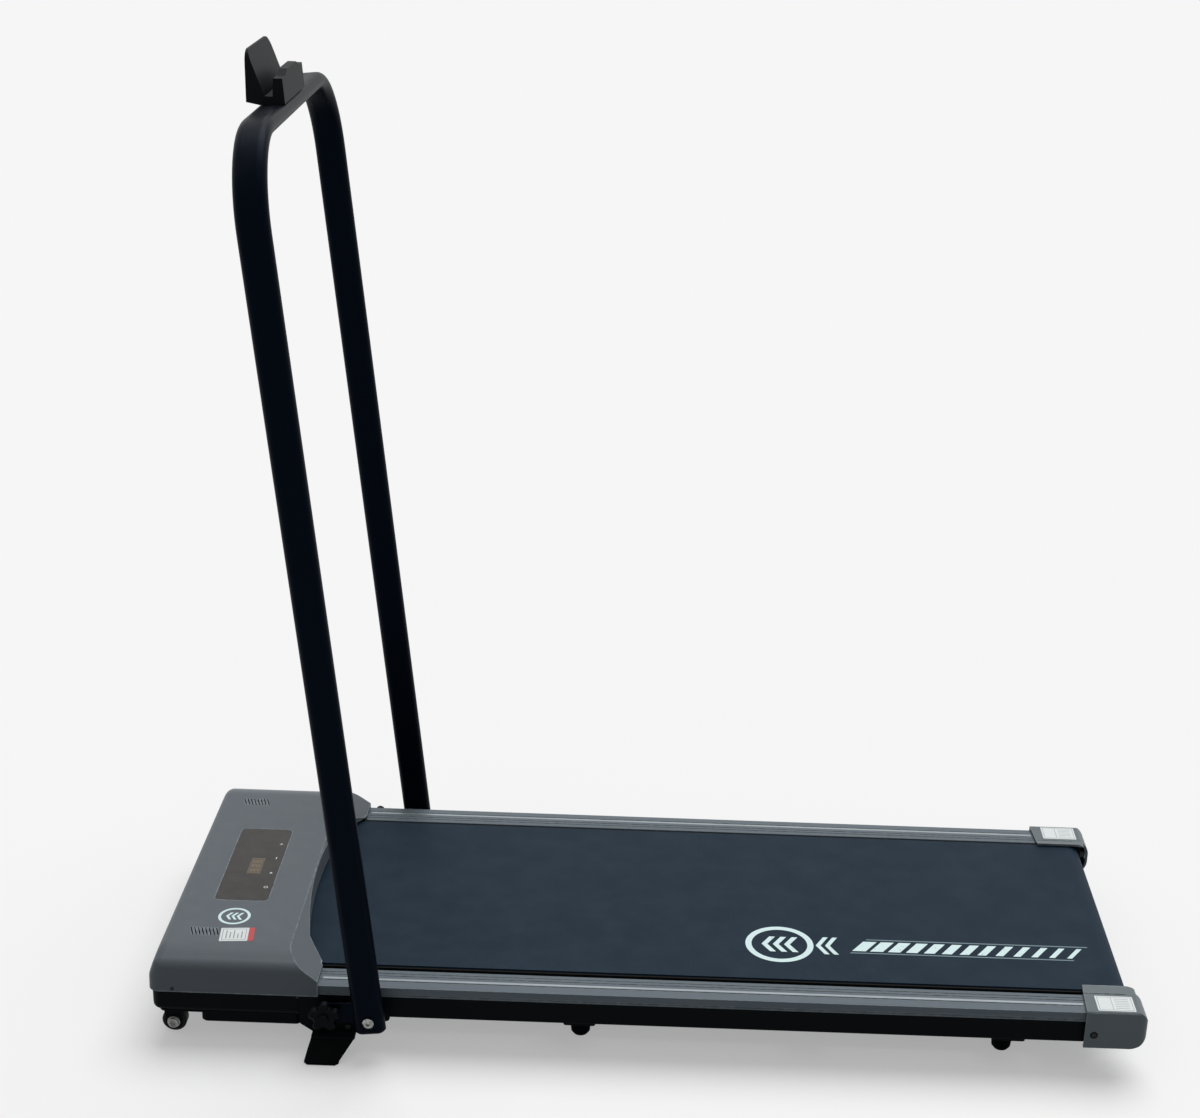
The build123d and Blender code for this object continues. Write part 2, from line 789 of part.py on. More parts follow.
def motor_body():
    y0 = motor_centre_y - motor_length / 2
    with BuildPart() as motor:
        with BuildSketch(side_plane(y0)):
            with Locations((motor_x, motor_z)):
                Circle(motor_radius)
        extrude(amount=-motor_length)
        chamfer(motor.edges().filter_by(GeomType.CIRCLE), motor_chamfer)
        with BuildSketch(side_plane(y0)):
            with Locations((motor_x, motor_z)):
                Circle(motor_nose_radius)
        extrude(amount=motor_nose_height)
        with BuildSketch(side_plane(y0 - motor_nose_height)):
            with Locations((motor_x, motor_z)):
                Circle(shaft_radius + axle_clearance)
        extrude(amount=-(motor_nose_height + shaft_engagement + shaft_bore_gap), mode=Mode.SUBTRACT)
    return motor.part


def motor_shaft():
    y1 = motor_centre_y - motor_length / 2 + shaft_engagement
    return rod(motor_x, motor_z, shaft_radius, pulley_y - pulley_width / 2 - shaft_stub, y1)


def flywheel():
    """Cast flywheel whose web is cut into fan blades."""
    y1 = motor_centre_y - motor_length / 2 - flywheel_gap
    hub = shaft_radius + flywheel_hub_wall
    rim = flywheel_radius - flywheel_rim_wall
    with BuildPart() as wheel:
        with BuildSketch(side_plane(y1)):
            with Locations((motor_x, motor_z)):
                Circle(flywheel_radius)
                Circle(shaft_radius, mode=Mode.SUBTRACT)
        extrude(amount=flywheel_width)
        with BuildSketch(side_plane(y1 - flywheel_width)):
            with Locations((motor_x, motor_z)):
                with PolarLocations((hub + rim) / 2, fan_blades):
                    Rectangle(rim - hub, fan_window_width)
        extrude(amount=flywheel_width, mode=Mode.SUBTRACT)
    return wheel.part


def motor_pulley():
    return grooved_pulley(
        motor_x,
        motor_z,
        motor_pulley_radius,
        shaft_radius,
        motor_pulley_hub_radius,
        motor_pulley_hub_height,
    )


def motor_mount():
    """Bent steel plate bolted to the front tube, with two saddles under the motor."""
    x0 = front_tube_x + front_tube_width / 2
    x1 = pan_recess_front + pan_thickness + mount_pan_gap
    x2 = motor_x + mount_reach
    z0 = motor_z - motor_radius - 2 * mount_thickness
    z1 = tube_bottom + mount_pan_gap
    z2 = tube_bottom + front_tube_height - mount_top_drop
    half = motor_length / 2 - mount_inset
    y0 = motor_centre_y - half
    y1 = motor_centre_y + half
    with BuildPart() as mount:
        add(block(x1, x2, y0, y1, z0, z0 + mount_thickness))
        add(block(x0, x0 + mount_thickness, y0, y1, z1, z2))
        for y in (y0, y1 - mount_thickness):
            with BuildSketch(side_plane(y)):
                with BuildLine():
                    Polyline(
                        (x0, z1),
                        (x0, z2),
                        (motor_x, z2),
                        (x2, z0 + 3 * mount_thickness),
                        (x2, z0),
                        (x1, z0),
                        (x1, tube_bottom + mount_heel_gap),
                        (x1 - mount_heel, z1),
                        close=True,
                    )
                make_face()
                with Locations((motor_x, motor_z)):
                    Circle(motor_radius, mode=Mode.SUBTRACT)
            extrude(amount=-mount_thickness)
    return mount.part


# ================================================================ electronics
def controller():
    """Drive electronics: a tray with a finned heat sink."""
    length, width, height = controller_size
    z0 = pan_bottom + pan_thickness
    with BuildPart() as box:
        with BuildSketch(Plane.XY.offset(z0)):
            with Locations((controller_x, controller_y)):
                RectangleRounded(length, width, controller_corner)
        extrude(amount=height)
        with BuildSketch(Plane.XY.offset(z0 + height)):
            with Locations((controller_x, controller_y)):
                with GridLocations(0, controller_fin_pitch, 1, controller_fins):
                    Rectangle(length - 2 * controller_fin_margin, controller_fin_thickness)
        extrude(amount=controller_fin_height)
    return box.part


def led_module():
    """Digit display on its board, held under the glass."""
    length, width, height = led_size
    board_length = display_length - 2 * led_board_margins[0]
    board_width = display_width - 2 * led_board_margins[1]
    z1 = hood_top - display_thickness - side_gap - height
    with BuildPart() as module:
        with BuildSketch(Plane.XY.offset(z1 - led_board_thickness)):
            with Locations((display_x, 0)):
                Rectangle(board_length, board_width)
        extrude(amount=led_board_thickness)
        with BuildSketch(Plane.XY.offset(z1)):
            with Locations((display_x, 0)):
                Rectangle(length, width)
        extrude(amount=height)
    return module.part


# ================================================================ motor hood
def on_front(edge, inset):
    """True for an edge round the front of the hood, apart from its bottom edge."""
    middle = edge.center()
    if middle.X > front_x + inset + hood_front_lean + OVERRUN:
        return False
    if middle.Z < hood_bottom + OVERRUN:
        return False
    across = abs(edge.tangent_at(0.5).Y) > 0.99
    return not across or middle.Z > hood_top - inset - OVERRUN


def hood_form(inset):
    """Outside of the hood for inset 0, its cavity for inset = wall thickness."""
    half = hood_half_width - inset
    shoulder_half = half - hood_side_lean
    crown_half = hood_half_width - hood_side_lean - hood_bevel_width
    top = hood_top - inset
    low = hood_bottom - (OVERRUN if inset else 0)
    ramp_start = hood_ramp_start - hood_ramp_wall[0] * inset
    ramp_end = hood_ramp_end - inset
    ramp_foot = hood_ramp_foot - hood_ramp_wall[1] * inset
    notch_edge = ramp_end - notch_depth
    notch_flat = rail_inner - notch_shoulder - inset
    notch_tip = rail_inner - notch_side_gap - hood_tip_wall * inset
    tip_end = ramp_end + hood_tip_wall * inset
    with BuildPart() as form:
        with BuildSketch(cross_plane(front_x + inset)) as section:
            with BuildLine():
                Polyline(
                    (-half, low),
                    (-shoulder_half, hood_shoulder - inset),
                    (-crown_half, top),
                    (crown_half, top),
                    (shoulder_half, hood_shoulder - inset),
                    (half, low),
                    close=True,
                )
            make_face()
            fillet(section.vertices().group_by(Axis.Y)[-1], hood_crown_radius)
            fillet(section.vertices().group_by(Axis.Y)[1], hood_shoulder_radius - inset)
        extrude(amount=ramp_end - front_x - inset)
        # front leans back above the cover
        with BuildSketch(side_plane(hood_half_width)) as wedge:
            with BuildLine():
                Polyline(
                    (front_x + inset - OVERRUN, low - OVERRUN),
                    (front_x + inset, low - OVERRUN),
                    (front_x + inset, hood_knee),
                    (front_x + inset + hood_front_lean, top + OVERRUN),
                    (front_x + inset - OVERRUN, top + OVERRUN),
                    close=True,
                )
            make_face()
            fillet(wedge.vertices().sort_by(Axis.Y)[2], hood_knee_radius)
        extrude(amount=2 * hood_half_width, mode=Mode.SUBTRACT)
        front_edges = form.edges().filter_by(lambda e: on_front(e, inset))
        fillet(front_edges, hood_front_radius - inset)
        # ramp down to the rails
        with BuildSketch(side_plane(hood_half_width)):
            with BuildLine():
                Polyline(
                    (ramp_start, top),
                    (ramp_end, ramp_foot),
                    (ramp_end + OVERRUN, ramp_foot),
                    (ramp_end + OVERRUN, top + OVERRUN),
                    (ramp_start, top + OVERRUN),
                    close=True,
                )
            make_face()
        extrude(amount=2 * hood_half_width, mode=Mode.SUBTRACT)
        # bowed edge over the belt
        with BuildSketch(Plane.XY.offset(low)):
            with BuildLine():
                bowed = ThreePointArc(
                    (notch_edge + notch_bow, -notch_flat),
                    (notch_edge, 0),
                    (notch_edge + notch_bow, notch_flat),
                )
                Polyline(
                    bowed @ 1,
                    (tip_end, notch_tip),
                    (hood_ramp_end + OVERRUN, notch_tip),
                    (hood_ramp_end + OVERRUN, -notch_tip),
                    (tip_end, -notch_tip),
                    bowed @ 0,
                )
            make_face()
        extrude(amount=hood_top, mode=Mode.SUBTRACT)
    return form.part


def motor_hood():
    belt_space = belt_top + hood_rear_gap
    tube_side = tube_outer + hood_tube_gap
    with BuildPart() as hood:
        add(hood_form(0))
        add(hood_form(hood_wall), mode=Mode.SUBTRACT)
        # room for the belt, and seats on top of the side tubes
        add(block(front_roller_x, rear_x, -rail_inner, rail_inner, 0, belt_space), mode=Mode.SUBTRACT)
        add(block(frame_front, rear_x, -tube_side, tube_side, 0, tube_top), mode=Mode.SUBTRACT)
        # seat and window of the display glass
        with BuildSketch(Plane.XY.offset(hood_top)):
            with Locations((display_x, 0)):
                RectangleRounded(display_length, display_width, display_corner)
        extrude(amount=-display_thickness, mode=Mode.SUBTRACT)
        with BuildSketch(Plane.XY.offset(hood_top)):
            with Locations((display_x, 0)):
                Rectangle(display_length - 2 * display_ledge, display_width - 2 * display_ledge)
        extrude(amount=-2 * hood_wall, mode=Mode.SUBTRACT)
        # cooling slots
        with BuildSketch(Plane.XY.offset(hood_top)):
            for y in (-vent_y, vent_y):
                with Locations((vent_x, y)):
                    with GridLocations(vent_pitch, 0, vent_count, 1):
                        Rectangle(vent_slot_length, vent_slot_width, rotation=90 + vent_slant)
        extrude(amount=-2 * hood_wall, mode=Mode.SUBTRACT)
    return hood.part


def display_glass():
    clearance = display_clearance
    with BuildPart() as glass:
        with BuildSketch(Plane.XY.offset(hood_top - display_thickness)):
            with Locations((display_x, 0)):
                RectangleRounded(
                    display_length - 2 * clearance,
                    display_width - 2 * clearance,
                    display_corner - clearance,
                )
        extrude(amount=display_thickness)
    return glass.part


# ================================================================ lower front cover and belly pan
def cover_form(inset):
    """Outside of the lower front cover for inset 0, its cavity for inset = wall."""
    length = cover_depth - inset
    half = tube_outer if inset else cover_half_width
    low = tube_bottom + inset
    with BuildPart() as form:
        with BuildSketch(Plane.XY.offset(low)) as outline:
            with Locations((cover_front + inset + length / 2, 0)):
                Rectangle(length, 2 * half)
            fillet(outline.vertices().group_by(Axis.X)[0], cover_corner_radius - inset)
        extrude(amount=cover_top - low)
        rim = form.faces().sort_by(Axis.Z)[0].edges()
        fillet(rim.filter_by(lambda e: e.center().X < frame_front), cover_lower_radius - inset)
    return form.part


def front_cover():
    cover_rear = cover_front + cover_depth
    with BuildPart() as cover:
        add(cover_form(0))
        add(cover_form(cover_wall), mode=Mode.SUBTRACT)
        add(
            block(frame_front, cover_rear + OVERRUN, -tube_outer, tube_outer, 0, cover_top + OVERRUN),
            mode=Mode.SUBTRACT,
        )
        with BuildSketch(cross_plane(cover_front)):
            with Locations((inlet_y, inlet_z)):
                RectangleRounded(*inlet_size, inlet_corner)
            with Locations((switch_y, inlet_z)):
                Rectangle(*switch_size)
            with Locations((breaker_y, inlet_z)):
                Circle(breaker_radius)
        extrude(amount=cover_wall, mode=Mode.SUBTRACT)
    return cover.part


def pan_form(inset):
    length = pan_rear - pan_recess_front - 2 * inset
    with BuildPart() as form:
        with BuildSketch(Plane.XY.offset(pan_bottom + inset)):
            with Locations(((pan_rear + pan_recess_front) / 2, 0)):
                RectangleRounded(
                    length, 2 * (pan_recess_half_width - inset), pan_corner_radius - inset
                )
        extrude(amount=tube_bottom - pan_bottom - inset)
        if not inset:
            chamfer(form.faces().sort_by(Axis.Z)[0].edges(), pan_chamfer)
    return form.part


def belly_pan():
    with BuildPart() as pan:
        with BuildSketch(Plane.XY.offset(tube_bottom - pan_thickness)):
            with Locations(((pan_front + pan_rear) / 2, 0)):
                RectangleRounded(
                    pan_rear - pan_front, 2 * (tube_outer - pan_side_gap), pan_corner_radius
                )
        extrude(amount=pan_thickness)
        add(pan_form(0))
        add(pan_form(pan_thickness), mode=Mode.SUBTRACT)
    return pan.part


def power_inlet():
    """Three-pin appliance inlet with an open shroud."""
    face = cover_front - inlet_bezel
    bezel_width = inlet_size[0] + 2 * inlet_borders[0]
    bezel_height = inlet_size[1] + 2 * inlet_borders[1]
    blade_ys = (inlet_y - blade_pitch, inlet_y, inlet_y + blade_pitch)
    blade_zs = [inlet_z + rise for rise in blade_rises]
    with BuildPart() as inlet:
        with BuildSketch(cross_plane(face)):
            with Locations((inlet_y, inlet_z)):
                RectangleRounded(bezel_width, bezel_height, inlet_corner)
        extrude(amount=inlet_bezel)
        with BuildSketch(cross_plane(cover_front)):
            with Locations((inlet_y, inlet_z)):
                RectangleRounded(*inlet_size, inlet_corner)
        extrude(amount=inlet_body_depth)
        with BuildSketch(cross_plane(face)):
            with Locations((inlet_y, inlet_z)):
                RectangleRounded(*inlet_recess, inlet_recess_corner)
        extrude(amount=socket_depth, mode=Mode.SUBTRACT)
        with BuildSketch(cross_plane(face + socket_depth)):
            with Locations(*zip(blade_ys, blade_zs)):
                Rectangle(*blade_size)
        extrude(amount=-blade_length)
    return inlet.part


def switch_housing():
    pocket_height = 2 * (rocker_half_height + rocker_end_gap)
    pocket_width = rocker_width + 2 * rocker_gap
    bezel_width = switch_size[0] + 2 * switch_borders[0]
    bezel_height = switch_size[1] + 2 * switch_borders[1]
    face = cover_front - switch_bezel
    with BuildPart() as housing:
        with BuildSketch(cross_plane(face)):
            with Locations((switch_y, inlet_z)):
                RectangleRounded(bezel_width, bezel_height, switch_corner)
        extrude(amount=switch_bezel)
        with BuildSketch(cross_plane(cover_front)):
            with Locations((switch_y, inlet_z)):
                Rectangle(*switch_size)
        extrude(amount=switch_depth)
        with BuildSketch(cross_plane(face)):
            with Locations((switch_y, inlet_z)):
                Rectangle(pocket_width, pocket_height)
        extrude(amount=2 * rocker_depth, mode=Mode.SUBTRACT)
    return housing.part


def rocker_button():
    """Rocker with two pressing faces, tilted to its off side."""
    tilt = math.radians(rocker_tilt)
    foot_half = rocker_taper * rocker_half_height
    seat = Plane(
        origin=(cover_front, switch_y - rocker_width / 2, inlet_z),
        x_dir=(-math.sin(tilt), 0, math.cos(tilt)),
        z_dir=(0, 1, 0),
    )
    with BuildPart() as rocker:
        with BuildSketch(seat):
            with BuildLine():
                Polyline(
                    (-rocker_half_height, -rocker_rise),
                    (0, 0),
                    (rocker_half_height, -rocker_rise),
                    (foot_half, rocker_depth),
                    (-foot_half, rocker_depth),
                    close=True,
                )
            make_face()
        extrude(amount=rocker_width)
    return rocker.part


def breaker_housing():
    face = cover_front - breaker_nut_height
    pocket_depth = breaker_depth - breaker_travel
    with BuildPart() as housing:
        with BuildSketch(cross_plane(cover_front)):
            with Locations((breaker_y, inlet_z)):
                Circle(breaker_radius)
        extrude(amount=breaker_depth)
        with BuildSketch(cross_plane(face)):
            with Locations((breaker_y, inlet_z)):
                RegularPolygon(breaker_radius + breaker_nut_wall, HEX_SIDE_COUNT)
        extrude(amount=breaker_nut_height)
        with BuildSketch(cross_plane(face)):
            with Locations((breaker_y, inlet_z)):
                Circle(breaker_button_radius + breaker_gap)
        extrude(amount=pocket_depth, mode=Mode.SUBTRACT)
    return housing.part


def breaker_button():
    """Push button that stands level with the front of the hood."""
    length = breaker_depth - 2 * breaker_travel
    with BuildPart() as button:
        with BuildSketch(cross_plane(front_x)):
            with Locations((breaker_y, inlet_z)):
                Circle(breaker_button_radius)
        extrude(amount=length)
        front_edge = button.edges().filter_by(GeomType.CIRCLE).group_by(Axis.X)[0]
        chamfer(front_edge, breaker_button_chamfer)
    return button.part


# ================================================================ rear end caps
def cap_form(inset):
    """Outside of the right-hand cap for inset 0, its hollow for inset = wall."""
    outer = cap_half_width - inset
    top = cap_top - inset
    lip_top = top + cap_lip_rise
    low = cap_bottom + (cap_floor if inset else 0)
    back = rear_x - inset
    start = cap_front - (OVERRUN if inset else 0)
    inner = cap_inner - (OVERRUN if inset else 0)
    slant = 0 if inset else cap_front_slant
    with BuildPart() as form:
        with BuildSketch(cross_plane(start)):
            with BuildLine():
                Polyline(
                    (inner, low),
                    (inner, lip_top),
                    (cap_ridge, top),
                    (outer - cap_edge, top),
                    (outer, top - cap_edge),
                    (outer, low),
                    close=True,
                )
            make_face()
        extrude(amount=back - start)
        with BuildSketch(side_plane(0)) as profile:
            with Locations(((start + back) / 2, (lip_top + low) / 2)):
                Rectangle(back - start, lip_top - low)
            fillet(profile.vertices().group_by(Axis.X)[-1], cap_round - inset)
        extrude(amount=-cap_half_width, mode=Mode.INTERSECT)
        with BuildSketch(Plane.XY.offset(cap_bottom)) as plan:
            with BuildLine():
                Polyline(
                    (start, outer),
                    (back, outer),
                    (back, inner),
                    (start + slant, inner),
                    close=True,
                )
            make_face()
            fillet(plan.vertices().sort_by(Axis.X)[-2:].sort_by(Axis.Y)[-1], cap_corner_radius - inset)
        extrude(amount=2 * cap_top, mode=Mode.INTERSECT)
    return form.part


def end_cap():
    lip_bottom = belt_top + cap_lip_gap
    start = cap_front - OVERRUN
    with BuildPart() as cap:
        add(cap_form(0))
        add(cap_form(cap_wall), mode=Mode.SUBTRACT)
        # beside the roller the cap is only a lip over the edge of the belt
        add(
            block(
                start,
                rear_x + OVERRUN,
                cap_inner - OVERRUN,
                rail_inner - cap_side_inset,
                0,
                lip_bottom,
            ),
            mode=Mode.SUBTRACT,
        )
        # groove along the foot of the raised lip
        with BuildSketch(cross_plane(start)):
            with Locations((cap_ridge, cap_top)):
                Rectangle(2 * cap_groove, 2 * cap_groove)
        extrude(amount=cap_length - cap_round, mode=Mode.SUBTRACT)
        # hole for the key of the tension bolt
        with BuildSketch(cross_plane(rear_x)):
            with Locations((tension_bolt_y, roller_z)):
                Circle(tension_head_radius + cap_key_clearance)
        extrude(amount=-2 * cap_wall, mode=Mode.SUBTRACT)
        # room for the end of the rail and side tube
        rail_end = cap_front + cap_wall + side_gap
        add(
            block(start, rail_end, rail_inner, rails_width / 2, 0, rail_top),
            mode=Mode.SUBTRACT,
        )
    return cap.part


# ================================================================ hinge brackets and folding lock
def hinge_bracket():
    """Left bracket: plate on the side tube, pivot boss, lock boss and foot flange."""
    front = lock_x - bracket_front_reach
    rear = pivot_x + bracket_rear_reach
    flange_reach = stand_foot_top[1] - bracket_thickness
    with BuildPart() as bracket:
        with BuildSketch(side_plane(-tube_outer)) as outline:
            with BuildLine():
                Polyline(
                    (front, bracket_top),
                    (rear, bracket_top),
                    (rear, tube_bottom - bracket_rear_drop),
                    (foot_rear + bracket_heel[0], bracket_foot_z + bracket_heel[1]),
                    (foot_rear, bracket_foot_z),
                    (foot_front, bracket_foot_z),
                    (front + bracket_toe[0], bracket_foot_z + bracket_toe[1]),
                    (front, tube_bottom - bracket_front_drop),
                    close=True,
                )
            make_face()
            fillet(outline.vertices(), bracket_corner)
        extrude(amount=bracket_thickness)
        with BuildSketch(side_plane(-bracket_outer)):
            with Locations((pivot_x, pivot_z)):
                Circle(pivot_boss_radius)
            with Locations((lock_x, pivot_z)):
                Circle(lock_boss_radius)
        extrude(amount=boss_end - bracket_outer)
        with BuildSketch(Plane.XY.offset(bracket_foot_z)):
            with Locations(((foot_front + foot_rear) / 2, -bracket_outer - flange_reach / 2)):
                Rectangle(stand_foot_top[0], flange_reach)
        extrude(amount=bracket_flange)
        with BuildSketch(side_plane(-tube_outer)):
            with Locations((pivot_x, pivot_z)):
                Circle(pivot_radius)
            with Locations((lock_x, pivot_z)):
                Circle(lock_screw_radius + lock_screw_clearance)
        extrude(amount=boss_end - tube_outer, mode=Mode.SUBTRACT)
    return bracket.part


def foot_screws():
    """Screws that hold the floor feet on the bracket plates."""
    with BuildPart() as screws:
        for side in (LEFT, RIGHT):
            with BuildSketch(side_plane(side * bracket_outer)):
                with Locations((pivot_x - foot_screw_reach, bracket_foot_z + foot_screw_rise)):
                    Circle(foot_screw_radius)
            extrude(amount=-side * foot_screw_height)
    return screws.part


def stand_foot():
    """Left floor foot: moulded rubber shoe that splays outwards under the bracket."""
    x_top = (foot_front + foot_rear) / 2
    x_sole = x_top - stand_foot_sweep
    y_top = -(tube_outer + stand_foot_top[1] / 2)
    y_sole = -(tube_outer + stand_foot_splay + stand_foot_bottom[1] / 2)
    with BuildPart() as foot:
        with BuildSketch(Plane.XY.offset(bracket_foot_z)) as upper:
            with Locations((x_top, y_top)):
                Rectangle(*stand_foot_top)
            chamfer(upper.vertices(), stand_foot_corner)
        with BuildSketch(Plane.XY.offset(stand_foot_sole)) as lower:
            with Locations((x_sole, y_sole)):
                Rectangle(*stand_foot_bottom)
            chamfer(lower.vertices(), stand_foot_corner)
        loft(ruled=True)
        with BuildSketch(Plane.XY) as sole:
            with Locations((x_sole, y_sole)):
                Rectangle(*stand_foot_bottom)
            chamfer(sole.vertices(), stand_foot_corner)
        extrude(amount=stand_foot_sole)
        chamfer(foot.faces().sort_by(Axis.Z)[0].edges(), stand_foot_edge)
    return foot.part


def pivot_bolts():
    """Button-head bolts that the posts swing on, with their nuts inside the side tubes."""
    with BuildPart() as bolts:
        for side in (LEFT, RIGHT):
            head = side * (post_outer + side_gap)
            with BuildSketch(side_plane(head)):
                with Locations((pivot_x, pivot_z)):
                    Circle(pivot_radius)
            extrude(amount=side * (post_outer + side_gap - tube_outer))
            with BuildSketch(side_plane(head)):
                with Locations((pivot_x, pivot_z)):
                    Circle(pivot_head_radius)
            extrude(amount=-side * pivot_head_height)
            rim = bolts.edges().filter_by(GeomType.CIRCLE).sort_by(Axis.Y)
            chamfer(rim[0] if side == LEFT else rim[-1], pivot_head_dome * pivot_head_height)
            with BuildSketch(side_plane(head + side * pivot_head_height)):
                with Locations((pivot_x, pivot_z)):
                    RegularPolygon(pivot_key_radius, HEX_SIDE_COUNT)
            extrude(amount=side * pivot_key_depth, mode=Mode.SUBTRACT)
    return bolts.part


def star_knob(side):
    """Lobed hand knob with its screw."""
    face = knob_face * side
    out = -side
    lobe_ring = knob_radius - knob_lobe_radius
    with BuildPart() as knob:
        with BuildSketch(side_plane(face)):
            with Locations((lock_x, pivot_z)):
                Circle(knob_flange_radius)
        extrude(amount=out * knob_flange_height)
        with BuildSketch(side_plane(face + side * knob_flange_height)):
            with Locations((lock_x, pivot_z)):
                Circle(lobe_ring)
                with PolarLocations(lobe_ring, knob_lobes, start_angle=90):
                    Circle(knob_lobe_radius)
        extrude(amount=out * (knob_height - knob_flange_height))
        outer_face = knob.faces().sort_by(Axis.Y)[0 if side == LEFT else -1]
        chamfer(outer_face.edges(), knob_chamfer)
        with BuildSketch(side_plane(face + side * knob_height)):
            with Locations((lock_x, pivot_z)):
                Circle(knob_cap_radius)
        extrude(amount=out * knob_cap_height, taper=knob_cap_taper)
        with BuildSketch(side_plane(face)):
            with Locations((lock_x, pivot_z)):
                Circle(lock_screw_radius)
        extrude(amount=-out * (knob_face - tube_outer - lock_screw_end_gap))
    return knob.part


# ================================================================ handlebar
def handle_path():
    half = post_outer - tube_thickness / 2
    with BuildLine(handle_plane) as path:
        FilletPolyline(
            (-half, -post_tail),
            (-half, handle_length),
            (half, handle_length),
            (half, -post_tail),
            radius=handle_bend,
        )
    return path.line


def handlebar_tube():
    half = post_outer - tube_thickness / 2
    up = (-math.sin(lean), 0, math.cos(lean))
    foot = handle_plane.from_local_coords(Vector(-half, -post_tail, 0))
    section_plane = Plane(origin=foot, x_dir=(math.cos(lean), 0, math.sin(lean)), z_dir=up)
    path = handle_path()
    with BuildPart() as tube:
        with BuildSketch(section_plane):
            SlotOverall(tube_width, tube_thickness)
            SlotOverall(tube_width - 2 * tube_wall, tube_thickness - 2 * tube_wall, mode=Mode.SUBTRACT)
        sweep(path=path)
        with BuildSketch(side_plane(-post_outer - 1)):
            with Locations((pivot_x, pivot_z)):
                Circle(pivot_radius + pivot_clearance)
        extrude(amount=-2 * (post_outer + 1), mode=Mode.SUBTRACT)
    return tube.part


def post_plugs():
    """Moulded plugs that close the lower ends of the posts."""
    half = post_outer - tube_thickness / 2
    up = Vector(-math.sin(lean), 0, math.cos(lean))
    with BuildPart() as plugs:
        for y in (-half, half):
            end = handle_plane.from_local_coords(Vector(y, -post_tail, 0))
            with BuildSketch(
                Plane(origin=end, x_dir=(math.cos(lean), 0, math.sin(lean)), z_dir=up)
            ):
                SlotOverall(tube_width, tube_thickness)
            extrude(amount=-plug_length)
        bottom = plugs.faces().filter_by(lambda f: f.normal_at().Z < -0.9)
        chamfer(bottom.edges(), plug_chamfer)
    return plugs.part


def lock_tab():
    """Left hook plate welded inside the post; its notch drops over the lock screw."""
    notch = lock_screw_radius + notch_clearance
    nose = tab_nose_radius
    tail = tab_tail_radius
    mouth_z = pivot_z - nose - notch_mouth
    with BuildPart() as tab:
        with BuildSketch(side_plane(-tab_inner)):
            with Locations((pivot_x, pivot_z)):
                Circle(tail)
            with Locations((lock_x, pivot_z)):
                Circle(nose)
            make_hull()
            with Locations((lock_x, pivot_z)):
                Circle(notch, mode=Mode.SUBTRACT)
            with BuildLine():
                Polyline(
                    (lock_x - notch, pivot_z),
                    (lock_x - notch - notch_flare, mouth_z),
                    (lock_x + notch + notch_flare, mouth_z),
                    (lock_x + notch, pivot_z),
                    close=True,
                )
            make_face(mode=Mode.SUBTRACT)
            with Locations((pivot_x, pivot_z)):
                Circle(pivot_radius + pivot_clearance, mode=Mode.SUBTRACT)
        extrude(amount=tab_thickness)
    return tab.part


def phone_holder():
    """Moulded phone rest: saddle base, sloped back and stepped front lip."""
    rise = math.tan(lean)
    seat_z = crossbar_z + tube_thickness / 2 / math.cos(lean)
    base_z = seat_z + rise * holder_overlap + holder_seat
    floor_z = base_z + holder_base
    top_z = base_z + holder_height
    lip_inner = holder_front + holder_back_foot + holder_slot
    shoulder = base_z + holder_lip_height
    peak = shoulder + holder_lip_rise
    # the tube's flat top ends this far from its middle line
    flat = (tube_width - tube_thickness) / 2
    with BuildPart() as holder:
        with BuildSketch(side_plane(holder_y - holder_length / 2)):
            with BuildLine():
                Polyline(
                    (holder_front, seat_z - rise * flat + holder_undercut),
                    (holder_front, top_z),
                    (holder_front + holder_back_top, top_z),
                    (holder_front + holder_back_foot, floor_z),
                    (lip_inner, floor_z),
                    (lip_inner + holder_lip_lean, peak),
                    (holder_rear - holder_lip_draft, peak),
                    (holder_rear, seat_z + rise * holder_overlap),
                    (crossbar_x - flat, seat_z - rise * flat),
                    close=True,
                )
            make_face()
        extrude(amount=-holder_length)
        # shoulders of the lip either side of its raised middle
        for side in (LEFT, RIGHT):
            slope_top = holder_y + side * holder_lip_centre / 2
            end = holder_y + side * (holder_length / 2 + OVERRUN)
            with BuildSketch(cross_plane(lip_inner)):
                with BuildLine():
                    Polyline(
                        (slope_top, peak + OVERRUN),
                        (slope_top + side * holder_lip_slope, shoulder),
                        (end, shoulder),
                        (end, peak + OVERRUN),
                        close=True,
                    )
                make_face()
            extrude(amount=holder_depth, mode=Mode.SUBTRACT)
        # rounded top corners of the back
        corners = holder.edges().filter_by(Axis.X).group_by(Axis.Z)[-1]
        fillet(corners, holder_corner)
    return holder.part


def holder_screws():
    """Two screws through the crossbar into the phone holder."""
    up = Vector(-math.sin(lean), 0, math.cos(lean))
    spread = holder_screw_spread * holder_length
    with BuildPart() as screws:
        for offset in (-spread, spread):
            under = Vector(crossbar_x, holder_y + offset, crossbar_z) - up * (tube_thickness / 2)
            plane = Plane(origin=under, x_dir=(0, 1, 0), z_dir=-up)
            with BuildSketch(plane):
                Circle(holder_screw_radius)
            extrude(amount=holder_screw_height)
    return screws.part


